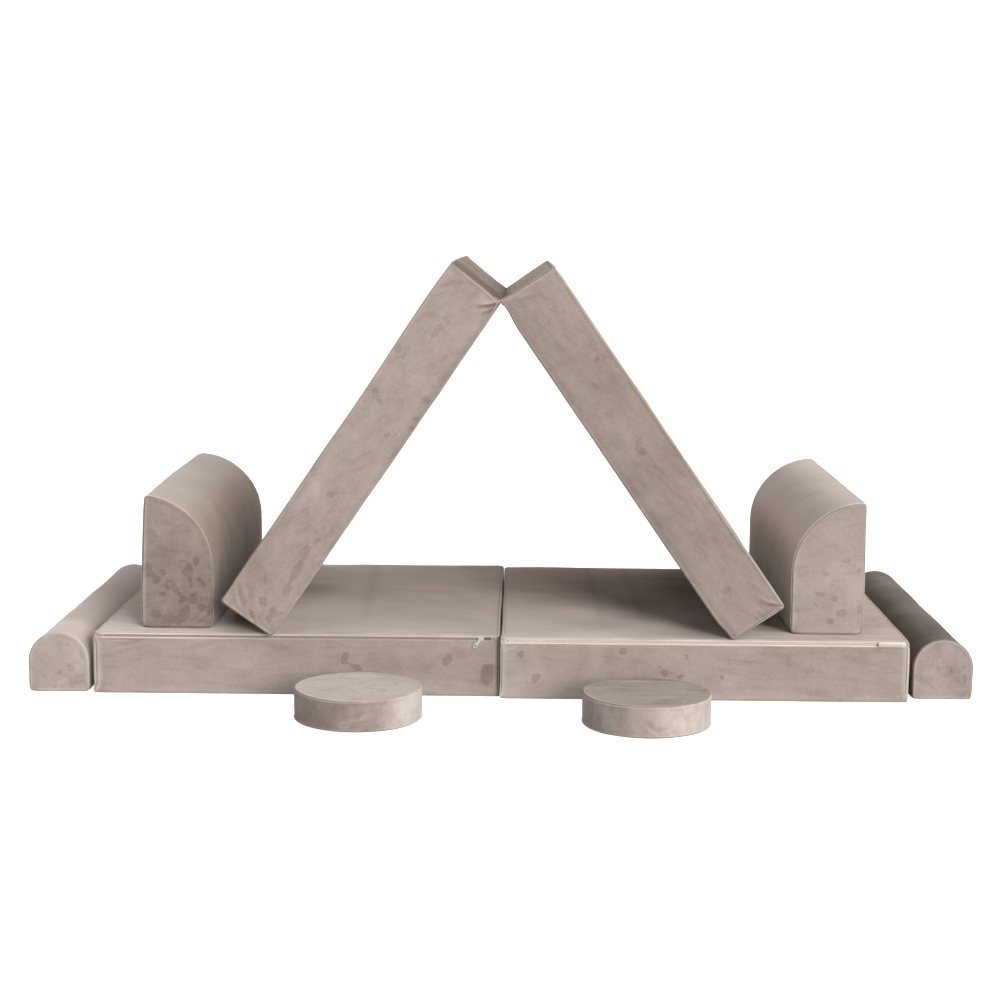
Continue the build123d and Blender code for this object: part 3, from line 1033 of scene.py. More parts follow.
    # the stuffed edges stand firm, and only the corners are drawn in a little
    low_edge = step(20 * MM, 4 * MM, world[:, 2] - (0 if name.endswith(("base", "roll", "disc")) else 0.1223))
    d += (firm + 0.7 * low_edge * (shape != "disc")) * MM * bell(near, 3.2 * MM)
    d -= 0.45 * MM * bell(near, 20 * MM) * step(2 * MM, 7 * MM, near)
    corners = {
        "mat": [(0, 0), (MAT, 0), (MAT, THICK), (0, THICK)],
        "quarter": [(0, 0), (Q_WIDE, 0), (0, Q_HIGH)],
        "roll": [(0, 0), (R_WIDE, 0)],
        "disc": [],
    }[shape]
    lifted = np.zeros(n)
    for cx, cy in corners:
        for cz in m["run"]:
            far = np.sqrt((px - cx) ** 2 + (py - cy) ** 2 + (pz - cz) ** 2)
            deep, wide_at = 1.4 + 0.5 * math.sin(cx * 9 + cy * 31 + cz * 7 + seed), 9 * MM
            if shape == "quarter" and cy == 0:
                deep, wide_at = 4.4, 13 * MM
            elif not tent and cy == 0:
                deep, wide_at = 2.6, 12 * MM
            if not tent:
                lifted = np.maximum(lifted, bell(far, wide_at))
            if tent and cx == MAT and cy == 0:
                deep = 0.0
            if name == "left_tent" and cx == MAT and cy == THICK:
                deep, wide_at = 2.8, 22 * MM
            if name == "right_base" and cx == MAT and cy == THICK:
                deep, wide_at = 2.6, 12 * MM
            d -= deep * MM * bell(far, wide_at)
    fade = step(4 * MM, 40 * MM, near)
    d += fade * MM * (
        0.8 * noise(px * 7, py * 7, pz * 7, seed + 10)
        + 0.42 * noise(px * 19, py * 19, pz * 19, seed + 11)
    )
    if shape == "mat":
        # faint rolls of slack cloth across the broad faces, and stronger ones over the two ends that meet
        broad = step(0.6, 0.95, np.abs(b.nrm[:, 1]))
        d += fade * broad * MM * 0.45 * noise(px * 4, py * 9, pz * 24, seed + 12)
        d += fade * 0.22 * MM * noise(px * 9, py * 45, pz * 45, seed + 13)
        if tent:
            end = step(0.6, 0.95, b.nrm[:, 0])
            slack = noise(py * 6, pz * 11, 0.4, seed + 14) + 0.55 * noise(py * 10, pz * 27, 0.8, seed + 15)
            d += end * step(0, 14 * MM, near) * MM * 0.6 * slack
            d += crease_lines(m, b)[0] * MM * step(-2 * MM, 9 * MM, near)
    if shape == "disc":
        th = np.arctan2(py, px)
        d += MM * (0.9 * noise(np.cos(th) * 1.7, np.sin(th) * 1.7, 0.3, seed + 50) + 0.5 * noise(np.cos(th) * 5, np.sin(th) * 5, pz * 20, seed + 51)) * (np.abs(b.nrm[:, 2]) < 0.9)
    shade = add_folds(name, world, normal, d)
    # nothing is quite straight: the whole cover wanders a little
    lead = world * 5.2 + seed * 1.7
    short = world * 15.0 + seed * 2.9
    wander = np.stack(
        [
            1.0 * MM * noise(*lead.T, seed + 30 + i) + 0.45 * MM * noise(*short.T, seed + 40 + i)
            for i in range(3)
        ],
        1,
    )
    D = normal * d[:, None]
    if sim is not None:
        D = D + sim * (0.2 + 0.8 * step(1 * MM, 16 * MM, near))[:, None]
    # no further out than the cloth may stand
    out = (D * normal).sum(1)
    D -= normal * np.maximum(out - 2.2 * MM, 0)[:, None]
    D = D + wander
    # it sits down on what it rests on
    rest = 0.0 if name.endswith(("base", "roll", "disc")) else 122.3 * MM
    above = world[:, 2] - rest
    D[:, 2] = np.where(D[:, 2] > 0, D[:, 2] * np.maximum(step(3 * MM, 22 * MM, above), lifted), D[:, 2])
    if base:
        # stuffed square: its upright front edges and its foot stand out full
        fronted = bell(pz - y0, 16 * MM)
        D[:, 0] += MM * fronted * (1.5 * bell(px - MAT, 14 * MM) - 3.6 * bell(px, 14 * MM))
    if base or shape == "quarter":
        foot = bell(np.hypot(py, pz - y0), 13 * MM)
        if shape == "quarter":
            foot = foot * (1 - 0.95 * bell(px, 13 * MM)) * (1 - 0.95 * bell(px - Q_WIDE, 13 * MM))
        D[:, 1] -= 4.5 * MM * foot
        D[:, 2] -= 3.0 * MM * foot
    if name == "left_quarter":
        # its flat side leans towards the middle in front
        fore = step(0.45, 0.0, pz - y0)
        D[:, 0] += MM * (9.5 * fore - 3.0 * (1 - fore)) * (py / Q_HIGH) ** 1.5 * np.clip(1 - px / Q_WIDE, 0, 1)
        D[:, 2] += 2.5 * MM * fore * bell(np.hypot(px, py - Q_HIGH), 30 * MM)
    if tent:
        along, outer = np.array(m["axes"][0], float), np.array(m["axes"][1], float)
        rear, tall = step(0, 0.8, pz - y0), np.clip(py / THICK, 0, 1)
        corner = bell(np.hypot(px - MAT, py - THICK), 40 * MM)
        if left:
            # the outer edge of its upper end stands higher than its inner one
            hump = 4.2 * np.sin(np.pi * np.clip((pz - y0) / (y1 - y0), 0, 1)) ** 0.8
            lift = (7.0 + 3.4 * rear + hump) * tall**1.5 * step(MAT - 0.11, MAT, px)
            wide = 2.6 * tall * step(MAT - 0.32, MAT - 0.06, px) * (1 - rear) - (1.2 + 3.5 * rear) * corner
        else:
            swell = np.sin(np.pi * np.clip((pz - y0) / (y1 - y0), 0, 1)) ** 0.7
            lift = 2.4 * swell * tall**2 * step(MAT - 0.06, MAT, px)
            wide = -(1.2 + 1.3 * step(0, 0.35, px) + 5.0 * rear * step(0.2, 0.8, px)) * tall
        D += MM * (along * lift[:, None] + outer * wide[:, None])
        # the front of the hinge leans to the left, and the left half's corner is pinched there
        far = np.sqrt((px - MAT) ** 2 + py**2 + (pz - y0) ** 2)
        pinch = {"left_tent": (4.8, 26.0), "right_tent": (3.0, 45.0)}[name]
        D[:, 0] -= pinch[0] * MM * bell(far, pinch[1] * MM)
        if name == "left_tent":
            # its foot stands a little nearer the middle
            D[:, 0] += 8.0 * MM * (1 - px / MAT)
        else:
            # its underside is stuffed fuller
            full = step(0.5 * THICK, 0, py) * step(2 * MM, 75 * MM, MAT - px) * step(2 * MM, 55 * MM, px)
            D -= outer * (6.0 * MM * full)[:, None]
        # folded together, the two undersides and the feet lie flat on what they meet
        inner_face = b.nrm[:, 1] < -0.3
        most = 0.2 * MM + 0.02 * (MAT - px) + (0 if left else 6.0 * MM * full)
        D += outer * (np.maximum(-(D @ outer) - most, 0) * inner_face)[:, None]
        if not left:
            # the front corner at the hinge comes to a point
            point = bell(np.hypot(px - MAT, py), 15 * MM) * bell(pz - y0, 30 * MM)
            D += MM * point[:, None] * (3.2 * along - 2.6 * outer)
            D[:, 0] -= 1.6 * MM * bell(np.hypot(px - MAT, py), 60 * MM) * bell(pz - y0, 45 * MM)
        end_face = (b.nrm[:, 0] < -0.3) & (px < 20 * MM)
        stand = 0.1 * MM + 0.05 * py if left else 0.012 * py - 0.3 * MM
        D += along * (np.maximum(-(D @ along) - stand, 0) * end_face)[:, None]
        qx, qy = px + D @ along - PROFILE_R, py + D @ outer - PROFILE_R
        if left:
            qx = qx - 8.0 * MM * CL
            qy = qy + 8.0 * MM * SL
        far = np.hypot(qx, qy)
        pull = np.where((qx < 0) & (qy < 0), np.maximum(far - PROFILE_R - (0.1 if left else -0.5) * MM, 0) / np.maximum(far, 1e-9), 0)
        D -= pull[:, None] * (along * qx[:, None] + outer * qy[:, None])
    # the zip's opening: two turned edges, nearly closed over the tape
    u, v, on, length = zip_uv(m, b)
    inside = 1 - step(length / 2 - 1 * MM, length / 2 + 3 * MM, np.abs(u))
    a = np.abs(v)
    wob = noise(u * 45, np.sign(v) * 3.3, 0.1, seed + 20) * 0.3
    apart = np.full(n, 1.75 * MM) + 0.12 * MM * noise(u * 30, np.sign(v) * 1.7, 0.6, seed + 22)
    floor_at = np.full(n, -3.3)
    if name == "left_base":
        gape = bell(u - 0.3768, 0.0075)
        apart = apart + 1.2 * MM * gape
        floor_at = floor_at + 1.9 * step(0.3680, 0.3700, u) * (1 - step(0.3840, 0.3855, u))
    open_part = 1 - step(-0.28 * MM, 0.28 * MM, a - apart)
    lost = np.ones(n)
    if name == "left_base":
        lost = np.where(v < 0, 1 - 0.8 * step(-0.28, 0.02, u), 1.0)
    tall = (0.45 if base else 0.8) * lost
    turned = 0.12 + (tall + wob) * bell(a - 4.7 * MM, 1.1 * MM) * step(3.4 * MM, 4.2 * MM, a)
    level = MM * (
        floor_at * open_part * inside + turned * (0.35 + 0.65 * inside) * (1 - open_part * inside)
    )
    reach = 1 - step(6.2 * MM, 11 * MM, a)
    if m["zip"][0] == "cap":
        reach = np.where(v > 0, 1 - step(3.7 * MM, 5.0 * MM, v), reach)
    zone = on * reach * (1 - step(length / 2 + 3 * MM, length / 2 + 10 * MM, np.abs(u)))
    D = D * (1 - zone)[:, None] + normal * (level * zone)[:, None]
    # painted highlight along the zip's lips
    rim = np.maximum(rim * (1 - zone), zone * inside * 0.8 * bell(a - 3.6 * MM, 1.6 * MM))
    # painted shade down the zip's open channel
    dark = open_part
    if base:
        # tone on tone, and open past the slider of the left one
        dark = dark * (0.3 if name == "left_base" else 0.0)
        if name == "left_base":
            dark = np.maximum(dark, step(0.3665, 0.3705, u) * open_part)
        front = b.nrm[:, 2] < -0.2
        there = front * (1 - step(length / 2 + 2 * MM, length / 2 + 9 * MM, np.abs(u)))
        uneven = 0.85 + 0.3 * noise(u * 14, np.sign(v) * 2.1, 0.3, seed + 21)
        broad = 1.3 if name == "right_base" else 1.0
        # pale lines along the two lips of the zip: painted highlight
        seam_cream = cream
        cream = there * uneven * np.maximum(
            bell(v - 3.9 * MM, 1.5 * MM * broad), bell(v + 3.7 * MM, 1.35 * MM * broad)
        )
        if name == "right_base":
            cream = np.maximum(cream, 0.8 * there * bell(v, 2.6 * MM))
        level_of = {"left_base": 0.42 + 0.3 * step(0.15, -0.3, u), "right_base": 1.0}[name]
        if name == "left_base":
            level_of = level_of * lost
            rim = rim * np.where(front & (np.abs(v) < 6 * MM), lost, 1.0)
            dark = dark * np.where(u < 0.366, 1 - 0.6 * step(-0.28, 0.02, u), 1.0)
        cream = np.clip(np.maximum(cream * level_of, seam_cream * (1 - there)), 0, 1)
    groove = np.maximum(groove * (1 - zone), zone * inside * dark)
    # painted shade on the cloth turned under, near what it rests on
    below = step(0.15, 0.7, -normal[:, 2]) * (world[:, 2] - rest < 30 * MM)
    groove = np.maximum(groove, 0.75 * below)
    # painted shade along the foot where it meets what it rests on
    touch = {"mat": 0.4, "quarter": 0.95}.get(shape, 0.0) * (not tent)
    groove = np.maximum(groove, touch * step(5.4 * MM, 1.6 * MM, world[:, 2] + D[:, 2] - rest) * (b.s_front < 2 * MM))
    # painted shade on the two mats' facing sides, in the gap between them
    if base:
        groove = np.maximum(groove, 0.85 * step(0.6, 0.9, np.abs(normal[:, 0])) * (np.abs(world[:, 0]) < 20 * MM))
    W = world + D
    # what it rests on, and what it stands beside
    if name.endswith(("base", "roll", "disc")):
        W[:, 2] = np.maximum(W[:, 2], 0.3 * MM)
    else:
        W[:, 2] = np.maximum(W[:, 2], 122.25 * MM)
    if base:
        x, y, z = W.T
        under = np.zeros(n)
        for x0, x1, y2, y3 in (
            (-0.718, -0.575, -0.19325, 0.55075),
            (0.578, 0.721, -0.19825, 0.54575),
            (-0.472, -0.448, -0.26325, 0.53775),
            (0.448, 0.472, -0.26325, 0.53775),
            (-0.374, -0.285, -0.26325, 0.53775),
        ):
            gap = np.maximum.reduce([x0 - x, x - x1, y2 - y, y - y3])
            under = np.maximum(under, 1 - step(2 * MM, 22 * MM, gap))
        top = z > 0.11
        W[:, 2] = np.where(top, np.minimum(z, 0.1221 + (1 - under) * 2 * MM), z)
    if name in ("left_base", "left_tent"):
        W[:, 0] = np.minimum(W[:, 0], -0.6 * MM)
    if name in ("right_base", "right_tent"):
        W[:, 0] = np.maximum(W[:, 0], 0.6 * MM - (6.0 * MM * bell(pz - y0, 60 * MM) if tent else 0))
    return W, dict(rim=rim, groove=groove, cream=cream, shade=shade), near


# ------------------------------------------------------------------ cloth
def simulate(blocks):
    """Every cover at once: cloth a little larger than its foam, held by it, sewn tight along its edges."""
    scene = bpy.context.scene
    made = {}
    for name, b in blocks.items():
        ob = mesh_object("sim_" + name, b.world(), b.faces)
        near = np.minimum(np.abs(b.s_front), np.abs(b.s_back))
        for arc in b.seams:
            near = np.minimum(near, np.abs(b.corner_s(arc)))
        wob = noise(b.loc[:, 0] * 9, b.loc[:, 1] * 9, b.loc[:, 2] * 9, 7)
        sewn = np.clip(1 - near / (9 * MM), 0, 1)
        hold = np.clip(0.24 + 0.03 * wob + 0.36 * sewn, 0, 1)
        slack = np.clip(sewn + 0.25 * (1 - sewn) * (0.5 + wob), 0, 1)
        for label, values in (("hold", hold), ("sewn", slack)):
            g = ob.vertex_groups.new(name=label)
            for i, w in enumerate(values):
                g.add([i], float(w), "REPLACE")
        mod = ob.modifiers.new("cloth", "CLOTH")
        s = mod.settings
        s.quality = 5
        s.mass = 0.3
        s.tension_stiffness = s.compression_stiffness = 12
        s.shear_stiffness = 4
        s.bending_stiffness = 0.12
        s.tension_damping = s.compression_damping = s.shear_damping = 8
        s.air_damping = 3
        s.vertex_group_mass = "hold"
        s.pin_stiffness = 1.0
        s.use_pressure = True
        s.uniform_pressure_force = 1.6
        s.vertex_group_shrink = "sewn"
        s.shrink_min = -0.011
        s.shrink_max = 0.004
        s.effector_weights.gravity = 0
        mod.collision_settings.use_collision = False
        mod.collision_settings.use_self_collision = False
        mod.point_cache.frame_start, mod.point_cache.frame_end = 1, 24
        made[name] = ob
    for f in range(1, 21):
        scene.frame_set(f)
    dg = bpy.context.evaluated_depsgraph_get()
    out = {}
    for name, ob in made.items():
        e = ob.evaluated_get(dg)
        me = e.to_mesh()
        co = np.zeros(len(me.vertices) * 3, np.float32)
        me.vertices.foreach_get("co", co)
        D = co.reshape(-1, 3).astype(float) - blocks[name].world()
        e.to_mesh_clear()
        # ripples no longer than the mesh's own squares are not folds: even them out
        F = blocks[name].faces
        a = np.concatenate([F[:, 0], F[:, 1], F[:, 2], F[:, 3]])
        b = np.concatenate([F[:, 1], F[:, 2], F[:, 3], F[:, 0]])
        a, b = np.concatenate([a, b]), np.concatenate([b, a])
        count = np.bincount(a, minlength=len(D))[:, None]
        for _ in range(5):
            total = np.stack([np.bincount(a, D[b, i], minlength=len(D)) for i in range(3)], 1)
            D = 0.4 * D + 0.6 * total / count
        D *= 1.25
        cap = 3.2 * MM
        length = np.linalg.norm(D, axis=1)
        D *= (np.tanh(length / cap) * cap / np.maximum(length, 1e-9))[:, None]
        out[name] = D
    for ob in made.values():
        me = ob.data
        bpy.data.objects.remove(ob)
        bpy.data.meshes.remove(me)
    scene.frame_set(1)
    return out


# ------------------------------------------------------------------ materials
class Nodes:
    def __init__(self, name):
        self.mat = bpy.data.materials.new(name)
        self.mat.use_nodes = True
        self.t = self.mat.node_tree
        self.t.nodes.clear()
        self.x = 0

    def add(self, kind, **props):
        n = self.t.nodes.new(kind)
        self.x += 40
        n.location = (self.x, 0)
        for k, v in props.items():
            setattr(n, k, v)
        return n

    def link(self, a, b):
        self.t.links.new(a, b)

    def put(self, socket, value):
        if hasattr(value, "is_output"):
            self.link(value, socket)
        elif value is not None:
            socket.default_value = value

    def math(self, op, a, b=None, c=None, clamp=False):
        n = self.add("ShaderNodeMath", operation=op, use_clamp=clamp)
        self.put(n.inputs[0], a)
        self.put(n.inputs[1], b)
        if c is not None:
            self.put(n.inputs[2], c)
        return n.outputs[0]

    def noise(self, vec, scale, detail=2.0, rough=0.5, distort=0.0):
        n = self.add("ShaderNodeTexNoise")
        self.put(n.inputs["Vector"], vec)
        n.inputs["Scale"].default_value = scale
        n.inputs["Detail"].default_value = detail
        n.inputs["Roughness"].default_value = rough
        n.inputs["Distortion"].default_value = distort
        return n.outputs["Fac"]

    def spread(self, value, a, b, lo=0.0, hi=1.0):
        n = self.add("ShaderNodeMapRange", interpolation_type="SMOOTHSTEP")
        self.put(n.inputs["Value"], value)
        for s, v in (("From Min", a), ("From Max", b), ("To Min", lo), ("To Max", hi)):
            n.inputs[s].default_value = v
        return n.outputs["Result"]

    def mix(self, f, a, b, kind="MIX"):
        n = self.add("ShaderNodeMix", data_type="RGBA", blend_type=kind)
        self.put(n.inputs[0], f)
        self.put(n.inputs[6], a)
        self.put(n.inputs[7], b)
        return n.outputs[2]

    def place(self, vec, scale=(1, 1, 1), move=(0, 0, 0), turn=0.0):
        n = self.add("ShaderNodeMapping")
        self.put(n.inputs["Vector"], vec)
        n.inputs["Scale"].default_value = scale
        n.inputs["Rotation"].default_value = (0, 0, turn)
        n.inputs["Location"].default_value = move
        return n.outputs["Vector"]

    def attribute(self, name, vector=False):
        n = self.add("ShaderNodeAttribute", attribute_name=name)
        return n.outputs["Vector" if vector else "Fac"]


def velvet(name, tone=1.0, move=(0, 0, 0), grain=(5, 60, 60), streak=0.5, turn=0.6, sheen=0.34, press=0.15, soft=1.0, long=(22, 85, 60), cross=(80, 20, 60), relief=0.4):
    """Short-pile velvet: nap brushed this way and that, with painted highlights along seams, edges and zip lips,
    painted shade down in seams and hollows, and a browner painted shade tint.
    """
    k = Nodes(name)
    loc = k.attribute("loc", True)
    nap, mott, dab = k.attribute("nap"), k.attribute("mott"), k.attribute("dab")
    rim, groove = k.attribute("rim"), k.attribute("groove")
    p = k.place(loc, move=move)
    other = k.place(loc, move=(move[1], move[2], move[0]))
    # broad drifts of the nap, softer clouds in it, and the strokes of a hand in two directions
    drift = k.spread(k.noise(p, 6.5, 2.0, 0.5, 0.3), 0.3, 0.7, -0.055, 0.055)
    field = k.noise(other, 19.0, 4.0, 0.56, 0.5)
    cloud = k.spread(field, 0.3, 0.7, -0.085 * soft, 0.075 * soft)
    patch = k.spread(k.noise(p, 34.0, 4.0, 0.55, 0.7), 0.53, 0.63, 0.0, -0.075 * soft)
    one = k.noise(k.place(k.place(p, turn=turn), long), 1.0, 3.0, 0.55, 0.6)
    two = k.noise(k.place(k.place(other, turn=-1.3 * turn), cross), 1.0, 3.0, 0.55, 0.6)
    stroke = k.math("ADD", k.spread(one, 0.52, 0.70, 0.0, -0.085), k.spread(two, 0.53, 0.70, 0.0, 0.06 * soft))
    speck = k.noise(other, 62.0, 3.0, 0.6, 0.5)
    small = k.spread(speck, 0.3, 0.7, -0.05 * soft, 0.04 * soft)
    grit = k.spread(k.noise(p, 240.0, 3.0, 0.7, 0.2), 0.3, 0.7, -0.04, 0.04)
    # a few thin lines scratched across it
    ridge = k.math("ABSOLUTE", k.math("SUBTRACT", k.noise(k.place(k.place(p, turn=2.1), (14, 70, 40)), 1.0, 2.0, 0.5, 1.6), 0.5))
    line = k.math(
        "MULTIPLY", k.spread(ridge, 0.0, 0.012, 0.11, 0.0), k.spread(k.noise(other, 16.0, 1.0), 0.52, 0.62)
    )
    marks = k.math("ADD", k.math("ADD", cloud, patch), k.math("ADD", stroke, small))
    marks = k.math("MULTIPLY", k.math("ADD", marks, line), mott)
    # marks left by fingers: the edge of each wanders, firmer on one side
    edge = k.math("ADD", dab, k.math("MULTIPLY", k.math("SUBTRACT", speck, 0.5), 2.3))
    ragged = k.noise(k.place(k.place(p, turn=turn), (90, 180, 140)), 1.0, 2.0, 0.6, 0.8)
    edge = k.math("ADD", edge, k.math("MULTIPLY", k.math("SUBTRACT", ragged, 0.48), 0.7))
    finger = k.spread(edge, -0.05, 0.42, 0.0, -press)
    ring = k.math("SUBTRACT", k.spread(edge, -0.35, -0.02), k.spread(edge, -0.02, 0.15))
    finger = k.math("ADD", finger, k.math("MULTIPLY", ring, 0.03))
    # fine strokes of the brush
    lines = k.noise(k.place(loc, grain, move), 1.0, 3.0, 0.6, 0.5)
    run = k.spread(lines, 0.3, 0.7, -0.06 * streak, 0.06 * streak)
    pile = k.noise(p, 900.0, 2.0, 0.6, 0.0)
    fine = k.math("ADD", k.spread(pile, 0.3, 0.7, -0.06, 0.06), grit)
    total = k.math("ADD", k.math("ADD", drift, marks), k.math("ADD", finger, run))
    total = k.math("ADD", k.math("ADD", total, 1.0), k.math("ADD", nap, fine))
    # darker tones are made browner and lighter ones paler and greyer: the nap's tone, with painted shade colour and
    # painted sheen
    low = (0.306 * tone, 0.2455 * tone, 0.2150 * tone, 1)
    mid = (0.306 * tone, 0.2585 * tone, 0.2365 * tone, 1)
    high = (0.306 * tone, 0.2745 * tone, 0.2575 * tone, 1)
    colour = k.mix(k.spread(total, 0.72, 1.0), low, mid)
    colour = k.mix(k.spread(total, 1.02, 1.45), colour, high)
    # painted shade tint: browner where the cloth lies in shade
    colour = k.mix(k.attribute("warm"), colour, (0.306 * tone, 0.229 * tone, 0.180 * tone, 1))
    scaled = k.add("ShaderNodeVectorMath", operation="SCALE")
    k.link(colour, scaled.inputs[0])
    k.link(total, scaled.inputs["Scale"])
    # painted highlight: lifted towards a pale colour along seam lips, turned edges and zip lips
    lit = k.mix(
        k.math("MULTIPLY", rim, 0.5),
        scaled.outputs[0],
        (0.52 * tone, 0.458 * tone, 0.412 * tone, 1),
    )
    # painted highlight: the stronger pale lines along the zip lips, seam beads and pocket
    lit = k.mix(k.attribute("cream"), lit, (0.64, 0.575, 0.51, 1))
    # painted shade: darkened towards dark brown in seams, the zip channel, undersides, foot lines and the gap between
    # the mats
    deep = k.mix(
        k.math("MULTIPLY", groove, 0.75), lit, (0.085 * tone, 0.064 * tone, 0.053 * tone, 1)
    )
    s = k.add("ShaderNodeBsdfPrincipled")
    k.link(deep, s.inputs["Base Color"])
    k.link(k.spread(field, 0.3, 0.7, 0.84, 0.94), s.inputs["Roughness"])
    s.inputs["Specular IOR Level"].default_value = 0.12
    s.inputs["Sheen Weight"].default_value = sheen
    s.inputs["Sheen Roughness"].default_value = 0.36
    s.inputs["Sheen Tint"].default_value = (1.0, 0.93, 0.86, 1)
    b1 = k.add("ShaderNodeBump")
    b1.inputs["Strength"].default_value = 0.3
    b1.inputs["Distance"].default_value = 0.0005
    k.link(pile, b1.inputs["Height"])
    b2 = k.add("ShaderNodeBump")
    b2.inputs["Strength"].default_value = relief
    b2.inputs["Distance"].default_value = 0.0012
    k.link(speck, b2.inputs["Height"])
    k.link(b1.outputs[0], b2.inputs["Normal"])
    k.link(b2.outputs[0], s.inputs["Normal"])
    out = k.add("ShaderNodeOutputMaterial")
    k.link(s.outputs[0], out.inputs["Surface"])
    return k.mat


def tape_material(name="zip_weave", dark=(0.27, 0.222, 0.195, 1), pale=(0.37, 0.308, 0.272, 1)):
    k = Nodes(name)
    loc = k.attribute("loc", True)
    w = k.add("ShaderNodeTexWave", wave_type="BANDS", bands_direction="X")
    k.link(k.place(loc, (1, 1, 1)), w.inputs["Vector"])
    w.inputs["Scale"].default_value = 420.0
    w.inputs["Distortion"].default_value = 0.3
    w2 = k.add("ShaderNodeTexWave", wave_type="BANDS", bands_direction="Y")
    k.link(loc, w2.inputs["Vector"])
    w2.inputs["Scale"].default_value = 300.0
    both = k.math("MULTIPLY", w.outputs["Fac"], w2.outputs["Fac"])
    n = k.noise(loc, 60.0, 2.0)
    f = k.math("ADD", k.math("MULTIPLY", both, 0.6), k.math("MULTIPLY", n, 0.4))
    colour = k.mix(f, dark, pale)
    s = k.add("ShaderNodeBsdfPrincipled")
    k.link(colour, s.inputs["Base Color"])
    s.inputs["Roughness"].default_value = 0.75
    s.inputs["Sheen Weight"].default_value = 0.2
    b = k.add("ShaderNodeBump")
    b.inputs["Strength"].default_value = 0.5
    b.inputs["Distance"].default_value = 0.0003
    k.link(both, b.inputs["Height"])
    k.link(b.outputs[0], s.inputs["Normal"])
    out = k.add("ShaderNodeOutputMaterial")
    k.link(s.outputs[0], out.inputs["Surface"])
    return k.mat


def coil_material(name="zip_coil_nylon", dark=(0.34, 0.283, 0.25, 1), pale=(0.44, 0.372, 0.332, 1)):
    k = Nodes(name)
    loc = k.attribute("loc", True)
    n = k.noise(loc, 240.0, 2.0)
    colour = k.mix(n, dark, pale)
    s = k.add("ShaderNodeBsdfPrincipled")
    k.link(colour, s.inputs["Base Color"])
    k.link(k.spread(n, 0.3, 0.7, 0.38, 0.5), s.inputs["Roughness"])
    out = k.add("ShaderNodeOutputMaterial")
    k.link(s.outputs[0], out.inputs["Surface"])
    return k.mat


def metal_material():
    k = Nodes("zip_plate_metal")
    tc = k.add("ShaderNodeTexCoord")
    p = k.place(tc.outputs["Object"], (1, 1, 1))
    n = k.noise(p, 900.0, 3.0, 0.6)
    worn = k.noise(p, 160.0, 2.0, 0.5)
    colour = k.mix(worn, (0.62, 0.585, 0.555, 1), (0.78, 0.742, 0.71, 1))
    s = k.add("ShaderNodeBsdfPrincipled")
    k.link(colour, s.inputs["Base Color"])
    s.inputs["Metallic"].default_value = 1.0
    k.link(k.spread(n, 0.3, 0.7, 0.3, 0.46), s.inputs["Roughness"])
    b = k.add("ShaderNodeBump")
    b.inputs["Strength"].default_value = 0.15
    b.inputs["Distance"].default_value = 0.0001
    k.link(n, b.inputs["Height"])
    k.link(b.outputs[0], s.inputs["Normal"])
    out = k.add("ShaderNodeOutputMaterial")
    k.link(s.outputs[0], out.inputs["Surface"])
    return k.mat


def floor_material():
    """Pale sweep: matt, and bright enough of itself that it stays pale right to the horizon."""
    k = Nodes("pale_floor")
    tc = k.add("ShaderNodeTexCoord")
    n = k.noise(tc.outputs["Object"], 3.0, 2.0)
    s = k.add("ShaderNodeBsdfDiffuse")
    k.link(k.mix(n, (0.60, 0.60, 0.60, 1), (0.62, 0.62, 0.62, 1)), s.inputs["Color"])
    e = k.add("ShaderNodeEmission")
    path = k.add("ShaderNodeLightPath")
    k.link(k.math("MULTIPLY", path.outputs["Is Camera Ray"], 0.86), e.inputs["Strength"])
    both = k.add("ShaderNodeAddShader")
    k.link(s.outputs[0], both.inputs[0])
    k.link(e.outputs[0], both.inputs[1])
    out = k.add("ShaderNodeOutputMaterial")
    k.link(both.outputs[0], out.inputs["Surface"])
    return k.mat


TAPE, COIL, METAL = tape_material(), coil_material(), metal_material()
# the right mat's zip gets a paler copy of the tape and coil: painted light
PALE_TAPE = tape_material("pale_zip_weave", (0.66, 0.59, 0.525, 1), (0.80, 0.725, 0.655, 1))
PALE_COIL = coil_material("pale_zip_coil_nylon", (0.70, 0.63, 0.565, 1), (0.80, 0.73, 0.665, 1))


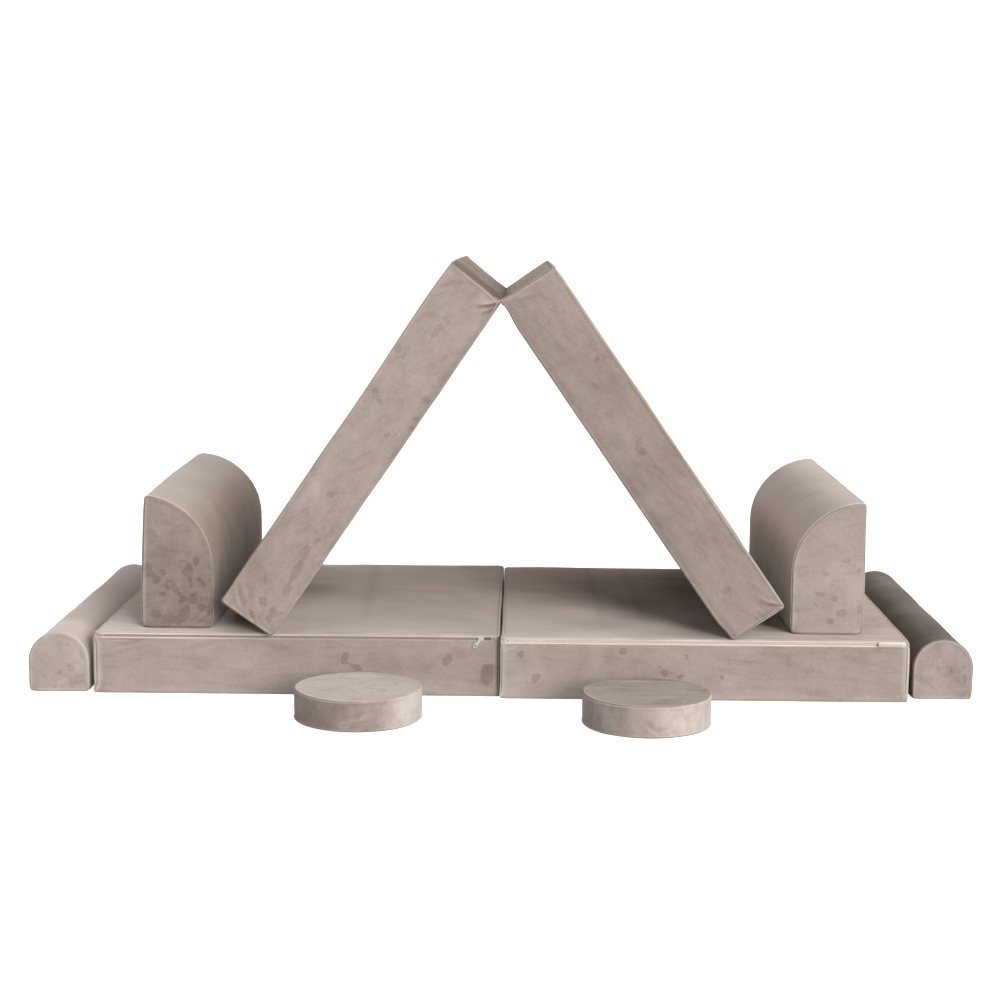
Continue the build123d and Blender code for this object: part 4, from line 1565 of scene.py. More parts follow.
# ------------------------------------------------------------------ zips
def zip_pieces(m):
    """Tape, coil and end stops of one zip, in its channel."""
    put, length = zip_frame(m)
    name = m["name"]
    # tape: a woven strip with a thicker cord along each side of the coil
    vs = np.array([-3.35, -3.0, -2.3, -1.9, -1.2, 0.0, 1.2, 1.9, 2.3, 3.0, 3.35])
    ws = np.array([-2.3, -2.05, -1.95, -1.55, -1.95, -2.1, -1.95, -1.55, -1.95, -2.05, -2.3])
    n = int(length / (6 * MM))
    us = np.linspace(-length / 2 - 2 * MM, length / 2 + 2 * MM, n + 1)
    k = len(vs)
    U = np.repeat(us, k)
    top = put(U, np.tile(vs, n + 1) * MM, np.tile(ws, n + 1) * MM)
    low = put(U, np.tile(vs, n + 1) * MM, np.full(len(U), -2.75 * MM))
    verts = np.concatenate([top, low])
    off = len(top)
    i = np.arange(n)[:, None] * k + np.arange(k - 1)[None, :]
    i = i.reshape(-1)
    faces = [
        np.stack([i, i + 1, i + k + 1, i + k], 1),
        np.stack([i + off, i + k + off, i + k + 1 + off, i + 1 + off], 1),
    ]
    for c, flip in ((0, False), (k - 1, True)):
        j = np.arange(n) * k + c
        f = np.stack([j, j + k, j + k + off, j + off], 1)
        faces.append(f[:, ::-1] if flip else f)
    for r, flip in ((0, True), (n, False)):
        j = r * k + np.arange(k - 1)
        f = np.stack([j, j + 1, j + 1 + off, j + off], 1)
        faces.append(f[:, ::-1] if not flip else f)
    faces = np.concatenate(faces)
    tape = mesh_object(name + "_zip_weave", verts, faces, PALE_TAPE if name == "right_base" else TAPE)
    fix_sides(tape)
    vector_attribute(
        tape,
        "loc",
        np.stack([np.tile(U, 2), np.tile(np.tile(vs, n + 1) * MM, 2), np.zeros(2 * off)], 1),
    )
    # coil: loops from each side in turn, meeting in the middle
    pitch = 2.3 * MM
    count = int((length - 5 * MM) / pitch)
    ring = 6
    st = np.array([-1.62, -1.35, -0.6, 0.25, 0.62])
    rad = np.array([0.3, 0.62, 0.66, 0.74, 0.34])
    lift = np.array([-1.2, -0.7, -0.3, -0.1, -0.2])
    th = np.arange(ring) * 2 * math.pi / ring
    one_v = np.repeat(st, ring)
    one_u = (rad[:, None] * np.cos(th)[None]).reshape(-1) * 0.95
    one_w = (lift[:, None] + rad[:, None] * np.sin(th)[None] * 1.25).reshape(-1)
    per = len(one_v)
    q = []
    for s in range(len(st) - 1):
        for t in range(ring):
            q.append([s * ring + t, s * ring + (t + 1) % ring, (s + 1) * ring + (t + 1) % ring, (s + 1) * ring + t])
    q = np.array(q)
    centres = (np.arange(count) - (count - 1) / 2) * pitch
    if name == "left_base":
        centres = centres[centres < 0.3672]
        count = len(centres)
    sign = np.where(np.arange(count) % 2 == 0, 1.0, -1.0)
    U = (centres[:, None] + one_u[None] * MM).reshape(-1)
    V = (sign[:, None] * one_v[None] * MM).reshape(-1)
    W = np.tile(one_w, count) * MM
    W = np.minimum(W, 0.85 * MM)
    F = (np.arange(count)[:, None, None] * per + q[None]).reshape(-1, 4)
    ends = []
    tri = [list(range(ring)), list(range(per - ring, per))[::-1]]
    me_faces = F.tolist() + [
        [c * per + i for i in t] for c in range(count) for t in tri
    ]
    coil = mesh_object(name + "_zip_coil", put(U, V, W), me_faces, PALE_COIL if name == "right_base" else COIL)
    fix_sides(coil)
    vector_attribute(coil, "loc", np.stack([U, V, W], 1))
    # stops pressed over both ends of the coil
    stops = []
    sv, sf = [], []
    for e in (-1, 1):
        c = e * (length / 2 - 1.2 * MM)
        prof = [(-2.1, -1.7), (-2.1, 0.6), (-1.6, 1.2), (1.6, 1.2), (2.1, 0.6), (2.1, -1.7)]
        us2 = [(-1.0, 0.82), (-0.75, 1.0), (0.75, 1.0), (1.0, 0.82)]
        base = len(sv)
        for du, g in us2:
            for v, w in prof:
                sv.append((c + du * MM, v * g * MM, (w * g if w > 0 else w) * MM))
        for s in range(3):
            for t in range(6):
                a = base + s * 6
                sf.append([a + t, a + (t + 1) % 6, a + 6 + (t + 1) % 6, a + 6 + t])
        sf.append([base + t for t in range(6)])
        sf.append([base + 18 + t for t in range(6)][::-1])
    sv = np.array(sv)
    stop = mesh_object(name + "_zip_stops", put(sv[:, 0], sv[:, 1], sv[:, 2]), sf, METAL, smooth=False)
    fix_sides(stop)
    body = name
    for ob, sl in ((tape, "zip"), (coil, "zip"), (stop, "zip_metal")):
        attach(ob, body)
        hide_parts(name + "_zip")
    return tape, coil, stop


def fix_sides(ob):
    """Faces of a closed mesh turned outward."""
    import bmesh

    bm = bmesh.new()
    bm.from_mesh(ob.data)
    bmesh.ops.recalc_face_normals(bm, faces=bm.faces)
    bm.to_mesh(ob.data)
    bm.free()
    ob.data.update()


# ------------------------------------------------------------------ make everything
fine = {name: block_of(m, "fine") for name, m in MODULES.items()}
sims = {}
coarse = {name: block_of(m, "coarse") for name, m in MODULES.items()}
moved = simulate(coarse)
for name in MODULES:
    sims[name] = carry(coarse[name], fine[name], moved[name])

LOOK = {
    "left_base": dict(move=(3.1, 0.2, 7.7), grain=(9, 70, 9), turn=0.1, soft=0.5, long=(11, 95, 14), cross=(15, 42, 12), press=0.21, relief=0.25),
    "right_base": dict(move=(13.1, 4.2, 1.7), grain=(9, 70, 9), turn=0.12, soft=0.5, long=(12, 90, 14), cross=(16, 40, 12), press=0.22, relief=0.25),
    "left_tent": dict(move=(8.3, 9.2, 3.3), grain=(14, 60, 40), sheen=0.16, tone=1.02, soft=0.6, turn=0.4, cross=(40, 22, 40), relief=0.25),
    "right_tent": dict(move=(2.3, 19.2, 5.3), grain=(14, 60, 40), sheen=0.16, tone=1.0, soft=0.45, turn=0.3, long=(16, 80, 60), cross=(30, 22, 40), relief=0.2),
    "left_quarter": dict(move=(5.7, 3.9, 12.3), grain=(7, 7, 75), press=0.17, streak=0.2, soft=0.75, turn=0.2, long=(16, 85, 12), cross=(28, 40, 12), relief=0.14),
    "right_quarter": dict(move=(15.7, 2.9, 9.3), grain=(7, 7, 75), press=0.17, streak=0.2, soft=0.55, turn=0.1, long=(14, 80, 12), cross=(18, 42, 12), relief=0.1),
    "left_roll": dict(move=(1.9, 6.6, 4.1), grain=(7, 7, 75), streak=0.2, soft=0.8, long=(22, 60, 9), cross=(50, 22, 9), relief=0.12),
    "right_roll": dict(move=(7.9, 16.6, 2.1), grain=(60, 60, 5), sheen=0.14, streak=0.3, soft=0.8, long=(30, 60, 7), cross=(60, 30, 7), relief=0.08),
    "left_disc": dict(move=(6.1, 2.6, 9.9), grain=(18, 50, 12)),
    "right_disc": dict(move=(9.1, 12.6, 3.9), grain=(8, 75, 12), streak=1.3),
}


# places pressed or brushed against the pile, on a panel's own two coordinates (m): half sizes (mm), turn, depth
MARKS = {
    ("left_quarter", "front"): [
        (0.11, 0.135, 8, 6, 86, 1),
        (0.09, 0.114, 9, 7, 60, 1),
        (0.083, 0.136, 10, 3, 16, 0.5),
        (0.117, 0.099, 6, 5, -19, 0.6),
        (0.03, 0.096, 9, 7, 33, 1),
        (0.058, 0.095, 9, 5, 1, 0.9),
        (0.068, 0.078, 11, 6, -61, 0.8),
        (0.083, 0.057, 11, 5, 41, 0.9),
        (0.042, 0.068, 9, 6, 32, 0.8),
        (0.106, 0.067, 9, 5, 31, 0.7),
        (0.102, 0.055, 7, 6, 3, 0.8),
        (0.12, 0.042, 7, 7, -13, 1),
        (0.084, 0.026, 17, 11, 65, 0.8),
        (0.045, 0.015, 26, 16, 2, 0.4),
        (0.012, 0.116, 12, 10, 86, 0.4),
        (0.135, 0.036, 10, 5, 89, 0.6),
        (0.044, 0.112, 7, 6, -18, 0.5),
        (0.098, 0.091, 12, 5, 89, 0.35),
        (0.022, 0.108, 9, 5, -40, 0.9),
        (0.051, 0.083, 8, 5, -48, 0.8),
        (0.076, 0.068, 8, 4, -45, 0.8),
        (0.125, 0.088, 7, 5, -60, 0.7),
        (0.097, 0.122, 10, 5, -70, 0.7),
    ],
    ("right_quarter", "front"): [
        (0.057, 0.072, 9, 8, 4, 1),
        (0.065, 0.026, 8, 7, 15, 1),
        (0.044, 0.042, 12, 9, -15, 0.8),
        (0.061, 0.1, 7, 6, 3, 0.45),
        (0.035, 0.148, 11, 6, 0, 0.4),
        (0.012, 0.13, 8, 7, 83, 0.55),
        (0.088, 0.081, 14, 5, 10, 0.4),
        (0.007, 0.053, 10, 6, 87, 0.6),
        (0.096, 0.059, 10, 4, 0, 0.25),
        (0.077, 0.122, 10, 9, 5, 0.3),
    ],
    ("left_base", "front"): [
        (0.777, 0.043, 24, 17, 78, 1.1),
        (0.496, 0.072, 15, 9, 72, 1),
        (0.516, 0.056, 16, 7, -24, 0.8),
        (0.697, 0.071, 17, 10, 62, 0.9),
    ],
    ("right_base", "front"): [
        (0.069, 0.041, 12, 9, 58, 1.1),
        (0.436, 0.046, 7, 6, -9, 1),
        (0.323, 0.053, 9, 8, -25, 0.9),
        (0.354, 0.047, 12, 6, 21, 0.8),
        (0.314, 0.064, 7, 6, -88, 0.6),
        (0.241, 0.097, 10, 8, 0, 0.7),
        (0.038, 0.087, 10, 8, 1, 0.35),
        (0.366, 0.086, 8, 5, -88, 0.4),
    ],
    ("left_tent", "front"): [
        (0.561, 0.014, 11, 10, 13, 0.9),
        (0.52, 0.008, 9, 6, -54, 0.7),
        (0.5, 0.005, 8, 6, -54, 0.5),
        (0.519, 0.104, 9, 8, -53, 0.55),
        (0.507, 0.086, 10, 5, 65, 0.5),
        (0.46, 0.04, 8, 5, -54, 0.35),
        (0.139, 0.034, 26, 9, 5, 0.8),
        (0.097, 0.028, 14, 11, 5, 0.8),
        (0.177, 0.039, 18, 9, 5, 0.45),
        (0.211, 0.034, 14, 5, -25, 0.6),
        (0.046, 0.021, 14, 10, -54, 0.35),
        (0.016, 0.06, 10, 6, 53, 0.6),
        (0.051, 0.055, 10, 8, 62, 0.35),
        (0.029, 0.024, 8, 8, 11, 0.4),
        (0.326, 0.124, 15, 14, -74, 0.3),
        (0.613, 0.108, 19, 15, -54, 0.25),
        (0.689, 0.067, 23, 10, -25, 0.25),
        (0.09, 0.07, 12, 10, 72, 0.25),
        (0.303, 0.059, 18, 10, 5, 0.3),
    ],
    ("right_tent", "front"): [
        (0.09, 0.047, 12, 9, -55, 0.3),
        (0.13, 0.015, 6, 6, 16, 0.3),
        (0.607, 0.088, 10, 7, 54, 0.4),
        (0.626, 0.087, 13, 4, 64, 0.4),
        (0.423, 0.063, 19, 12, 4, 0.2),
        (0.727, 0.081, 19, 11, -26, 0.2),
        (0.013, 0.064, 5, 4, -54, 0.3),
    ],
    ("left_roll", "front"): [
        (0.062, 0.039, 6, 6, 8, 0.7),
        (0.083, 0.051, 10, 9, 82, 0.35),
        (0.094, 0.023, 18, 13, 23, 0.4),
        (0.106, 0.033, 7, 6, 35, 0.5),
        (0.051, 0.011, 7, 6, 83, 0.5),
        (0.076, 0.097, 16, 5, 16, 0.3),
        (0.105, 0.074, 11, 5, -77, 0.5),
    ],
    ("right_roll", "front"): [
        (0.092, 0.039, 18, 14, 2, 0.3),
        (0.069, 0.064, 7, 6, 84, 0.5),
        (0.042, 0.06, 14, 3, 88, 0.5),
        (0.019, 0.064, 8, 4, -63, 0.6),
        (0.015, 0.042, 10, 5, 87, 0.5),
        (0.106, 0.045, 8, 6, 2, 0.3),
    ],
    ("left_disc", "top"): [
        (0.048, -0.033, 19, 11, -85, 0.9),
        (0.03, -0.05, 11, 9, -81, 0.6),
        (-0.0, -0.051, 22, 10, -85, 0.5),
        (0.003, -0.094, 16, 15, -67, 0.4),
        (0.046, 0.084, 14, 5, -86, 0.5),
        (0.07, 0.021, 10, 6, -86, 0.5),
        (-0.058, -0.033, 15, 8, 1, 0.35),
        (-0.096, -0.071, 8, 3, -83, 0.8),
    ],
    ("right_disc", "top"): [
        (0.035, -0.07, 30, 20, 8, 0.6),
        (0.096, 0.019, 25, 21, 19, 0.7),
        (0.022, 0.107, 39, 25, 7, 0.3),
        (-0.049, 0.021, 47, 10, 3, 0.3),
        (-0.015, -0.033, 37, 9, 3, 0.35),
        (0.066, -0.045, 22, 11, 5, 0.4),
    ],
}


def y0_of(m):
    return m["run"][0]


def brushed(m, b, near):
    """How the pile lies, with painted light and shade: its lightness over each panel (the nap's tone together with
    painted light and shade), how marked it is, the finger marks, and a browner painted shade tint.
    """
    name, shape, seed = m["name"], m["shape"], m["seed"]
    n = len(b.loc)
    px, py, pz = b.loc.T
    x, y, z = b.world().T
    nap, mott, dab = np.zeros(n), np.ones(n), np.full(n, -1.0)
    front, back = b.s_front < 0, b.s_back < 0
    cap = front | back
    up = (b.normals()[:, 2] > 0.75) & ~cap
    for (who, panel), marks in MARKS.items():
        if who != name:
            continue
        u, v = px, py
        if shape == "disc":
            on = back
        elif panel == "front":
            on = front
        else:
            on, v = up, pz
        for u0, v0, a, c, turn, depth in marks:
            if name == "left_quarter":
                a, c = 1.3 * a, 1.25 * c
            t = math.radians(turn)
            du, dv = u - u0, v - v0
            rho = ((du * math.cos(t) + dv * math.sin(t)) / (a * MM)) ** 2 + (
                (dv * math.cos(t) - du * math.sin(t)) / (c * MM)
            ) ** 2
            dab = np.where(on, np.maximum(dab, depth * (1 - rho)), dab)
    warm = np.zeros(n)
    level = b.normals()[:, 2]
    if name.endswith("base"):
        mott = np.where(up, 0.62 + 0.30 * step(0.45, 0.6, np.abs(x)) * step(0.25, 0.0, y), mott)
        strokes = noise(px * 12, 0.2, pz * 3.5, seed + 60) + 0.7 * noise(px * 11, 0.6, pz * 8, seed + 61)
        rear = step(-0.15, 0.35, y)
        # the tops painted lighter as painted light from above, darker towards the back as painted shade under the
        # tents; the strokes are the nap's own
        nap = np.where(up, 0.36 - 0.19 * rear + 0.09 * strokes, nap)
        nap = np.where(front, -0.03, nap)
        smudges = {
            "left_base": [(0.200, 0.061, 57, 13, 0.10), (0.382, 0.092, 42, 22, 0.09), (0.620, 0.056, 72, 14, 0.12), (0.735, 0.088, 46, 16, 0.07), (0.770, 0.038, 24, 24, 0.10)],
            "right_base": [(0.040, 0.085, 18, 26, 0.09), (0.150, 0.072, 22, 30, 0.10), (0.215, 0.090, 14, 22, 0.08), (0.300, 0.060, 60, 14, 0.06), (0.560, 0.070, 50, 40, 0.05)],
        }[name]
        uneven = 1 + 0.8 * noise(px * 23, py * 23, 0.4, seed + 65)
        for u0, v0, a, c, dark in smudges:
            nap = nap - np.where(front, dark * uneven * bell(np.hypot((px - u0) / (a * MM), (py - v0) / (c * MM)), 1.0), 0)
        slant = noise((x * 0.55 + y * 0.83) * 42, (x * 0.83 - y * 0.55) * 12, 0.2, seed + 64)
        nap = nap + np.where(up, 0.13 * slant * step(0.42, 0.62, np.abs(x)) * step(0.15, -0.1, y), 0)
        # painted light on the open outer ends of the tops, and a browner painted shade tint towards the back
        nap = nap + np.where(up, 0.06 * step(0.48, 0.60, np.abs(x)), 0)
        warm = np.where(up, 0.15 + 0.45 * rear, 0)
        if name == "right_base":
            # painted light on the open middle of the top, painted shadow of the right tent, and painted shade beside
            # its foot
            mid = step(0.34, 0.12, x) * step(0.25, -0.05, y)
            shade = step(0.28, 0.46, x) * (1 - step(0.5, 0.62, x)) * step(-0.235, -0.12, y)
            nap = nap + np.where(up, 0.05 - 0.38 * step(0.5, 0.62, x) + 0.27 * mid - 0.24 * shade, 0)
            nap = nap + np.where(front, 0.08 - 0.13 * step(0.05, 0.75, px), 0)
            # browner painted shade tint further back
            warm = np.where(up, warm + 0.25 * rear, 0)
            # painted light and painted shadow over the top: lighter where lit, darker in the right tent's shadow and
            # beside its foot
            field = 0.50 * bell(y - 0.0, 0.11) * step(0.34, 0.18, x) - 0.26 * step(-0.12, -0.19, y) * step(0.22, 0.0, x)
            field = field + 0.50 * bell(x - 0.31, 0.07) * bell(y + 0.15, 0.07) - 0.22 * bell(x - 0.28, 0.07) * bell(y - 0.09, 0.07)
            field = field - 0.40 * bell(x - 0.570, 0.05) * step(-0.21, -0.15, y) - 0.22 * step(0.62, 0.72, x) * bell(y + 0.07, 0.07)
            field = field - 0.26 * bell(x - 0.38, 0.08) * bell(y - 0.26, 0.14) - 0.12 * bell(x - 0.42, 0.06) * bell(y - 0.32, 0.12)
            field = field - 0.24 * bell(x - 0.25, 0.05) * bell(y - 0.10, 0.08) + 0.18 * bell(x - 0.15, 0.06) * bell(y + 0.03, 0.06)
            field = field + 0.20 * bell(x - 0.27, 0.06) * bell(y + 0.16, 0.05) - 0.20 * bell(x - 0.385, 0.04) * bell(y + 0.12, 0.05)
            nap = nap + np.where(up, field, 0)
            # two strokes of a hand from front to back
            for at, wide, dark in ((0.205, 0.010, 0.17), (0.292, 0.012, 0.16), (0.395, 0.020, 0.08)):
                nap = nap - np.where(up, dark * bell(x - at + 0.02 * y, wide) * step(-0.22, -0.12, y), 0)
        else:
            # painted light over the middle of the top, which lies under the left tent
            nap = nap + np.where(up, 0.44 * bell(x + 0.25, 0.22) * step(0.40, 0.0, y) - 0.04 * step(0.5, 0.6, -x), 0)
            for at, wide, dark in ((-0.285, 0.012, 0.17), (-0.455, 0.02, 0.06), (-0.16, 0.025, 0.05)):
                nap = nap - np.where(up, dark * bell(x - at + 0.03 * y, wide) * step(-0.15, 0.0, y), 0)
            # painted light and painted shade over the top: lighter in the middle, darker beside and under the left
            # tent's foot
            field = 0.46 * bell(x + 0.01, 0.13) * bell(y - 0.02, 0.21) - 0.33 * step(0.04, -0.13, y) * step(-0.47, -0.41, x)
            field = field + 0.22 * bell(x + 0.02, 0.06) * bell(y + 0.06, 0.07) + 0.18 * bell(x + 0.17, 0.06) * bell(y - 0.25, 0.12)
            field = field - 0.75 * bell(x + 0.42, 0.06) * bell(y - 0.22, 0.11)
            nap = nap + np.where(up, field, 0)
    elif name.endswith("tent"):
        end = (b.nrm[:, 0] > 0.75) & ~cap
        mott = np.where(end, 0.3, mott)
        streaks = noise(py * 5, pz * 22, 0.5, seed + 62)
        dark = crease_lines(m, b)[1]
        inward = 1 - py / THICK
        if name == "left_tent":
            fore = step(0.42, 0.05, (pz - y0_of(m)) / (m["run"][1] - y0_of(m)))
            # painted shade over the end, deeper towards the front and the hinge and in the creases' hollows; the
            # streaks are the nap's own
            nap = np.where(end, -0.31 - 0.26 * fore - 0.16 * inward + 0.08 * streaks - 0.34 * dark, nap)
            nap = np.maximum(nap, -0.66)
            nap = np.where(front, -0.03 - 0.08 * step(0.45, 0.1, px), nap)
            # painted shade along the edge by the underside
            nap = nap - np.where(front, 0.12 * bell(py - 3 * MM, 11 * MM) * step(0.25, 0.5, px), 0)
        else:
            # painted shade in the creases' hollows, the end painted lighter near its outer edge; the streaks are the
            # nap's own
            nap = np.where(end, -0.10 + 0.08 * step(0.3, 0.05, inward) + 0.06 * streaks - 0.3 * dark, nap)
            nap = np.where(front, -0.14 - 0.06 * bell(px / MAT - 0.5, 0.25), nap)
            # painted shade along the edge by the underside
            nap = nap - np.where(front, 0.10 * bell(py - 2 * MM, 10 * MM), 0)
        # browner painted shade tint over the ends
        warm = np.where(end, 0.45 if name == "left_tent" else 0.8, 0)
    elif shape == "quarter":
        mott = np.where(cap, 1.0, 0.12)
        flat = step(0.3, 0.9, -b.nrm[:, 0]) * ~cap
        if name == "left_quarter":
            # barrel painted lighter where it faces up, as painted light, and browner lower down, as painted shade tint
            nap = np.where(front, -0.22, -0.22 + 0.38 * step(0.3, 0.95, level))
            warm = np.where(cap, 0.15, 1 - step(0.45, 0.95, level))
        else:
            # barrel painted lighter where it faces up and sideways, as painted light, and browner lower down, as
            # painted shade tint
            nap = np.where(front, 0.07 - 0.08 * step(0.10, 0.2, py), 0.08 + 0.42 * bell(level - 0.52, 0.28))
            warm = np.where(cap, 0, 0.35 * (1 - step(0.5, 0.95, level)) + 0.55 * step(0.45, 0.1, level))
        nap = nap * (1 - flat) - 0.05 * flat
        warm = warm * (1 - 0.9 * flat)
        mott = mott + (0.85 - mott) * flat
    elif shape == "roll":
        mott = np.where(cap, 0.9, 0.2 if name == "left_roll" else 0.1)
        sweep = 0.05 * noise(px * 9, py * 9, pz * 9, seed + 63)
        if name == "left_roll":
            # nap tone together with painted light: the left roll's barrel painted lighter, with a pale band across it
            band = 0.16 * bell(pz - y0_of(m) - 0.10, 0.035)
            nap = np.where(cap, 0.05, 0.44 + band + sweep)
            warm = np.where(cap, 0, 0.25)
        else:
            # nap tone together with painted shade: the right roll's barrel painted darker
            nap = np.where(cap, 0.03 - 0.14 * bell(px - 0.03, 0.025) * bell(py - 0.05, 0.04), -0.68 + 1.4 * sweep)
    else:
        mott = np.where(back, 0.6, 0.8)
        across = px / D_R
        if name == "left_disc":
            # wall painted lighter towards the right, as painted light
            nap = np.where(back, 0.20, -0.16 - 0.05 * bell(across + 0.5, 0.3) + 0.46 * step(0.30, 0.85, across))
            mott = np.where(back, 0.9, mott)
        else:
            # wall painted lighter towards the right, as painted light
            nap = np.where(back, -0.31, -0.06 + 0.32 * step(-0.25, 0.55, across))
            mott = np.where(back, 0.5, mott)
    return dict(nap=nap, mott=mott, dab=dab, warm=warm)


for name, m in MODULES.items():
    b = fine[name]
    # the second result holds painted highlights and painted shade along the seams, edges, zip, foot and folds
    W, worn, near = dress(m, b, sims.get(name))
    ob = mesh_object(name + "_cushion", W, b.faces, velvet(name + "_velvet", **LOOK[name]))
    lay = brushed(m, b, near)
    lay["nap"] = lay["nap"] + worn.pop("shade")
    for label, values in {**worn, **lay}.items():
        float_attribute(ob, label, values)
    vector_attribute(ob, "loc", b.loc)
    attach(ob, name)
    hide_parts(name + "_cover", name + "_foam")
    zip_pieces(m)
    print(name, len(W), "vertices")

def sewn_piece(name, rows, loops, material, **values):
    """A closed strip: loops of the same count joined row to row and closed at both ends."""
    count = len(loops[0])
    verts = np.concatenate(loops)
    i = np.arange(rows - 1)[:, None] * count + np.arange(count)[None, :]
    j = np.arange(rows - 1)[:, None] * count + (np.arange(count)[None, :] + 1) % count
    quads = np.stack([i, j, j + count, i + count], -1).reshape(-1, 4).tolist()
    first = list(range(count))[::-1]
    last = list(range((rows - 1) * count, rows * count))
    ob = mesh_object(name, verts, quads + [first, last], material)
    fix_sides(ob)
    vector_attribute(ob, "loc", verts)
    for label in ("nap", "mott", "dab", "rim", "groove", "cream", "warm"):
        float_attribute(ob, label, np.broadcast_to(values.get(label, 0.0), (len(verts),)).astype(float))
    return ob


def hinge_strip():
    """The strip of the covers' cloth that joins the two tent halves: a folded cord with a flap up each end and down each underside."""
    right = [(q * MM, w * MM, 0) for q, w in (
        (2.4, 1.25), (4.0, 1.05), (6.5, 0.95), (10.0, 0.9), (12.8, 0.95), (13.9, 0.5), (14.0, -0.8), (8.0, -1.0), (5.0, -1.4)
    )] + [(q * MM, w * MM, 1) for q, w in (
        (5.5, -1.4), (8.4, -0.9), (9.3, -0.2), (9.0, 0.7), (7.0, 0.95), (4.5, 0.95), (2.6, 1.0)
    )]
    def at(q, w, low):
        if low:
            return 0.00123 + q * 0.5687 - w * 0.8226, 0.77885 - q * 0.8226 - w * 0.5687
        return 0.00123 + q * 0.8226 - w * 0.5687, 0.77885 + q * 0.5687 + w * 0.8226
    rows = 110
    ys = np.linspace(-0.2622, 0.5366, rows)
    ys[1:4] = ys[0] + np.array([0.7, 1.8, 3.6]) * MM
    ys[-4:-1] = ys[-1] - np.array([3.6, 1.8, 0.7]) * MM
    loops, groove, rim = [], [], []
    for y in ys:
        end = min(y - ys[0], ys[-1] - y)
        size = 0.72 + 0.28 * step(0, 3.0 * MM, end)
        lean = -2.6 * MM * bell(y - ys[0], 60 * MM) - 2.4 * MM * bell(y - ys[0], 16 * MM)
        knot = 1 + 0.5 * bell(y - ys[0] - 2 * MM, 3 * MM)
        heap = bell(y - ys[0], 9 * MM)
        half = []
        for n, (q, w, low) in enumerate(right):
            wave = 0.22 * MM * noise(y * 60, n * 0.4, low * 3.0, 5) + 0.5 * MM * noise(y * 14, n * 0.2, low * 2.0, 6) * (q > 9 * MM)
            half.append(at(q * size + wave, w * size + (0.3 * wave if w > 0 else 0), low))
        half = np.array(half)
        cord = np.array([(0.0, 0.7794), (0.9 * MM, 0.7795), (1.5 * MM, 0.7799)])
        cord[:, 1] = 0.7790 + (cord[:, 1] - 0.7790) * knot
        cord[:, 0] *= knot * (1 + 0.9 * heap)
        cord[:, 1] += 3.4 * MM * heap
        half[:2, 1] += np.array([3.0, 1.6]) * MM * heap
        under = np.array([(0.0, 0.7762)])
        r = np.concatenate([cord[1:], half])
        loop = np.concatenate([cord[:1], r, under, (r * (-1, 1))[::-1]])
        loops.append(np.stack([loop[:, 0] + lean, np.full(len(loop), y), loop[:, 1]], 1))
        # painted shade in the folds of the cord and where it tucks under, a faint painted highlight on the flaps
        g = np.zeros(len(loop))
        g[[0, 1, 2, -2, -1]] = 0.8
        g[[3, -3]] = 0.4
        g[[len(r) + 1]] = 0.8
        t = np.zeros(len(loop))
        t[[7, 8, -8, -7]] = 0.12
        groove.append(g)
        rim.append(t)
    ob = sewn_piece(
        "tent_hinge_strip",
        rows,
        loops,
        velvet("hinge_velvet", move=(4.4, 8.1, 2.2), grain=(60, 9, 60), sheen=0.12),
        groove=np.concatenate(groove),
        rim=np.concatenate(rim),
        # painted shade over the strip, which lies in the V between the two halves, less at the front end, and a browner
        # painted shade tint
        nap=np.repeat(-0.48 + 0.62 * bell(ys - ys[0], 8 * MM), len(loops[0])),
        mott=0.2,
        dab=-1.0,
        warm=np.repeat(0.6 - 0.5 * bell(ys - ys[0], 8 * MM), len(loops[0])),
    )
    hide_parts("tent_hinge_seam")
    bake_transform(ob)
    return ob


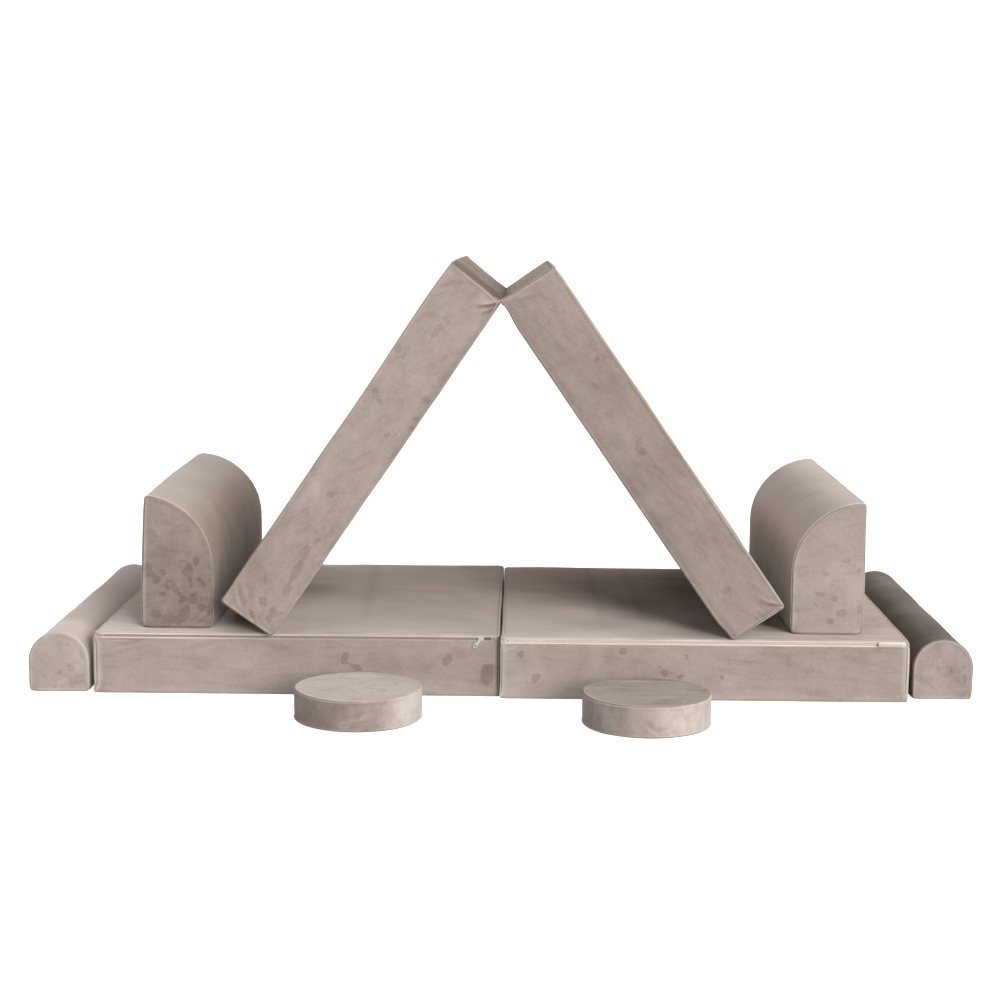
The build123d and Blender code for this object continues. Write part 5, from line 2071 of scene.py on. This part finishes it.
def zip_pocket():
    """The little fabric pocket the right mat's slider is tucked into, open towards the zip."""
    m = MODULES["right_base"]
    put, length = zip_frame(m)
    outer = [(-4.9, -1.0), (-4.85, 1.6), (-4.6, 3.9), (-3.8, 5.4), (-2.2, 6.15), (0, 6.4), (2.2, 6.15), (3.8, 5.4), (4.6, 3.9), (4.85, 1.6), (4.9, -1.6), (4.9, -4.0)]
    inner = [(4.1, -4.0), (4.1, -1.6), (4.0, 1.4), (3.8, 3.4), (3.1, 4.7), (1.8, 5.4), (0, 5.6), (-1.8, 5.4), (-3.1, 4.7), (-3.8, 3.4), (-4.0, 1.4), (-4.1, -1.0)]
    shape = np.array(outer + inner) * MM
    xs = np.concatenate([[0.7420, 0.7424, 0.7432], np.linspace(0.7450, 0.7880, 22), [0.7905, 0.7928, 0.7946, 0.7958, 0.7964]])
    loops = []
    for k, x in enumerate(xs):
        close = step(0.7885, 0.7968, x)
        lip = 1 + 0.03 * bell(x - 0.7428, 1.2 * MM)
        c = shape.copy()
        c[:, 1] *= np.where(c[:, 1] > 0, 1 - 0.17 * step(0.762, 0.743, x), 1.0)
        c[:, 0] *= (1 - 0.35 * close) * lip
        c[:, 1] = np.where(c[:, 1] > 0, c[:, 1] * (1 - 0.93 * close) * lip, c[:, 1])
        c[:, 1] += np.where(c[:, 1] > 1 * MM, 0.25 * MM * noise(x * 90, c[:, 0] * 200, 0.1, 9), 0)
        u = x - (0.0013 + 0.4005)
        loops.append(put(np.full(len(c), u), c[:, 0], c[:, 1]))
    ob = sewn_piece(
        "right_base_zip_pocket",
        len(xs),
        loops,
        velvet("pocket_velvet", move=(1.4, 5.1, 7.2), grain=(9, 60, 60)),
        # painted highlight along the pocket's lips, and its inside painted pale against the shade in it
        cream=np.tile(
            np.where(
                np.arange(len(shape)) < len(outer),
                0.44 + 0.40 * bell(shape[:, 0] - 3.8 * MM, 1.9 * MM) + 0.36 * bell(shape[:, 0] + 3.6 * MM, 1.7 * MM),
                1.0,
            ),
            len(xs),
        ),
        nap=0.02,
        mott=0.3,
        dab=-1.0,
    )
    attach(ob, "right_base")
    return ob


hinge_strip()
zip_pocket()

for n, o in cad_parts.items():
    if n.endswith(("_slider", "_pull")):
        o.data.materials.clear()
        o.data.materials.append(METAL)
        bev = o.modifiers.new("edge", "BEVEL")
        bev.width = 0.18 * MM
        bev.segments = 2
        bev.limit_method = "ANGLE"
        bev.angle_limit = math.radians(40)

# ------------------------------------------------------------------ floor, light, camera
floor = mesh_object(
    "floor",
    [(-60, -60, -0.0004), (60, -60, -0.0004), (60, 60, -0.0004), (-60, 60, -0.0004)],
    [[0, 1, 2, 3]],
    floor_material(),
)


ROOM = 0.50


def softbox(name, azimuth, elevation, spread, power, colour=(1, 1, 1)):
    """A broad far light: azimuth from straight in front towards the right, in degrees."""
    data = bpy.data.lights.new(name, "SUN")
    data.energy = power
    data.angle = math.radians(spread)
    data.color = colour
    ob = bpy.data.objects.new(name, data)
    bpy.context.scene.collection.objects.link(ob)
    az, el = math.radians(azimuth), math.radians(elevation)
    to = Vector((math.sin(az) * math.cos(el), -math.cos(az) * math.cos(el), math.sin(el)))
    ob.location = to * 6
    ob.rotation_mode = "QUATERNION"
    ob.rotation_quaternion = to.to_track_quat("Z", "Y")
    return ob


softbox("key", 28, 16, 22, 2.45, (1.0, 0.985, 0.965))
softbox("side", 68, 32, 40, 1.75, (1.0, 0.985, 0.97))
softbox("over", 0, 88, 50, 0.75, (1.0, 0.99, 0.98))

world = bpy.data.worlds.new("studio")
bpy.context.scene.world = world
world.use_nodes = True
wt = world.node_tree
wt.nodes.clear()
room = wt.nodes.new("ShaderNodeBackground")
room.inputs["Color"].default_value = (1.0, 0.995, 0.99, 1)
room.inputs["Strength"].default_value = ROOM
wall = wt.nodes.new("ShaderNodeBackground")
wall.inputs["Color"].default_value = (1.0, 1.0, 1.0, 1)
wall.inputs["Strength"].default_value = 1.05
ray = wt.nodes.new("ShaderNodeLightPath")
pick = wt.nodes.new("ShaderNodeMixShader")
wt.links.new(ray.outputs["Is Camera Ray"], pick.inputs[0])
wt.links.new(room.outputs[0], pick.inputs[1])
wt.links.new(wall.outputs[0], pick.inputs[2])
wo = wt.nodes.new("ShaderNodeOutputWorld")
wt.links.new(pick.outputs[0], wo.inputs["Surface"])

scene = bpy.context.scene
scene.view_settings.view_transform = "Standard"
scene.view_settings.look = "None"

yaw, pitch, roll = 0.011126, 0.139637, 0.007350
fwd = Vector(
    (-math.sin(yaw) * math.cos(pitch), math.cos(yaw) * math.cos(pitch), -math.sin(pitch))
)
right0 = Vector((math.cos(yaw), math.sin(yaw), 0))
up0 = right0.cross(fwd)
right = math.cos(roll) * right0 + math.sin(roll) * up0
up = -math.sin(roll) * right0 + math.cos(roll) * up0
cam_data = bpy.data.cameras.new("camera")
cam_data.lens = 71.668
cam_data.sensor_width = 36.0
cam_data.sensor_fit = "AUTO"
cam_data.clip_start, cam_data.clip_end = 0.1, 200
cam = bpy.data.objects.new("camera", cam_data)
scene.collection.objects.link(cam)
cam.matrix_world = Matrix(
    (
        (right.x, up.x, -fwd.x, 0.04033),
        (right.y, up.y, -fwd.y, -4.09447),
        (right.z, up.z, -fwd.z, 0.93400),
        (0, 0, 0, 1),
    )
)
scene.camera = cam
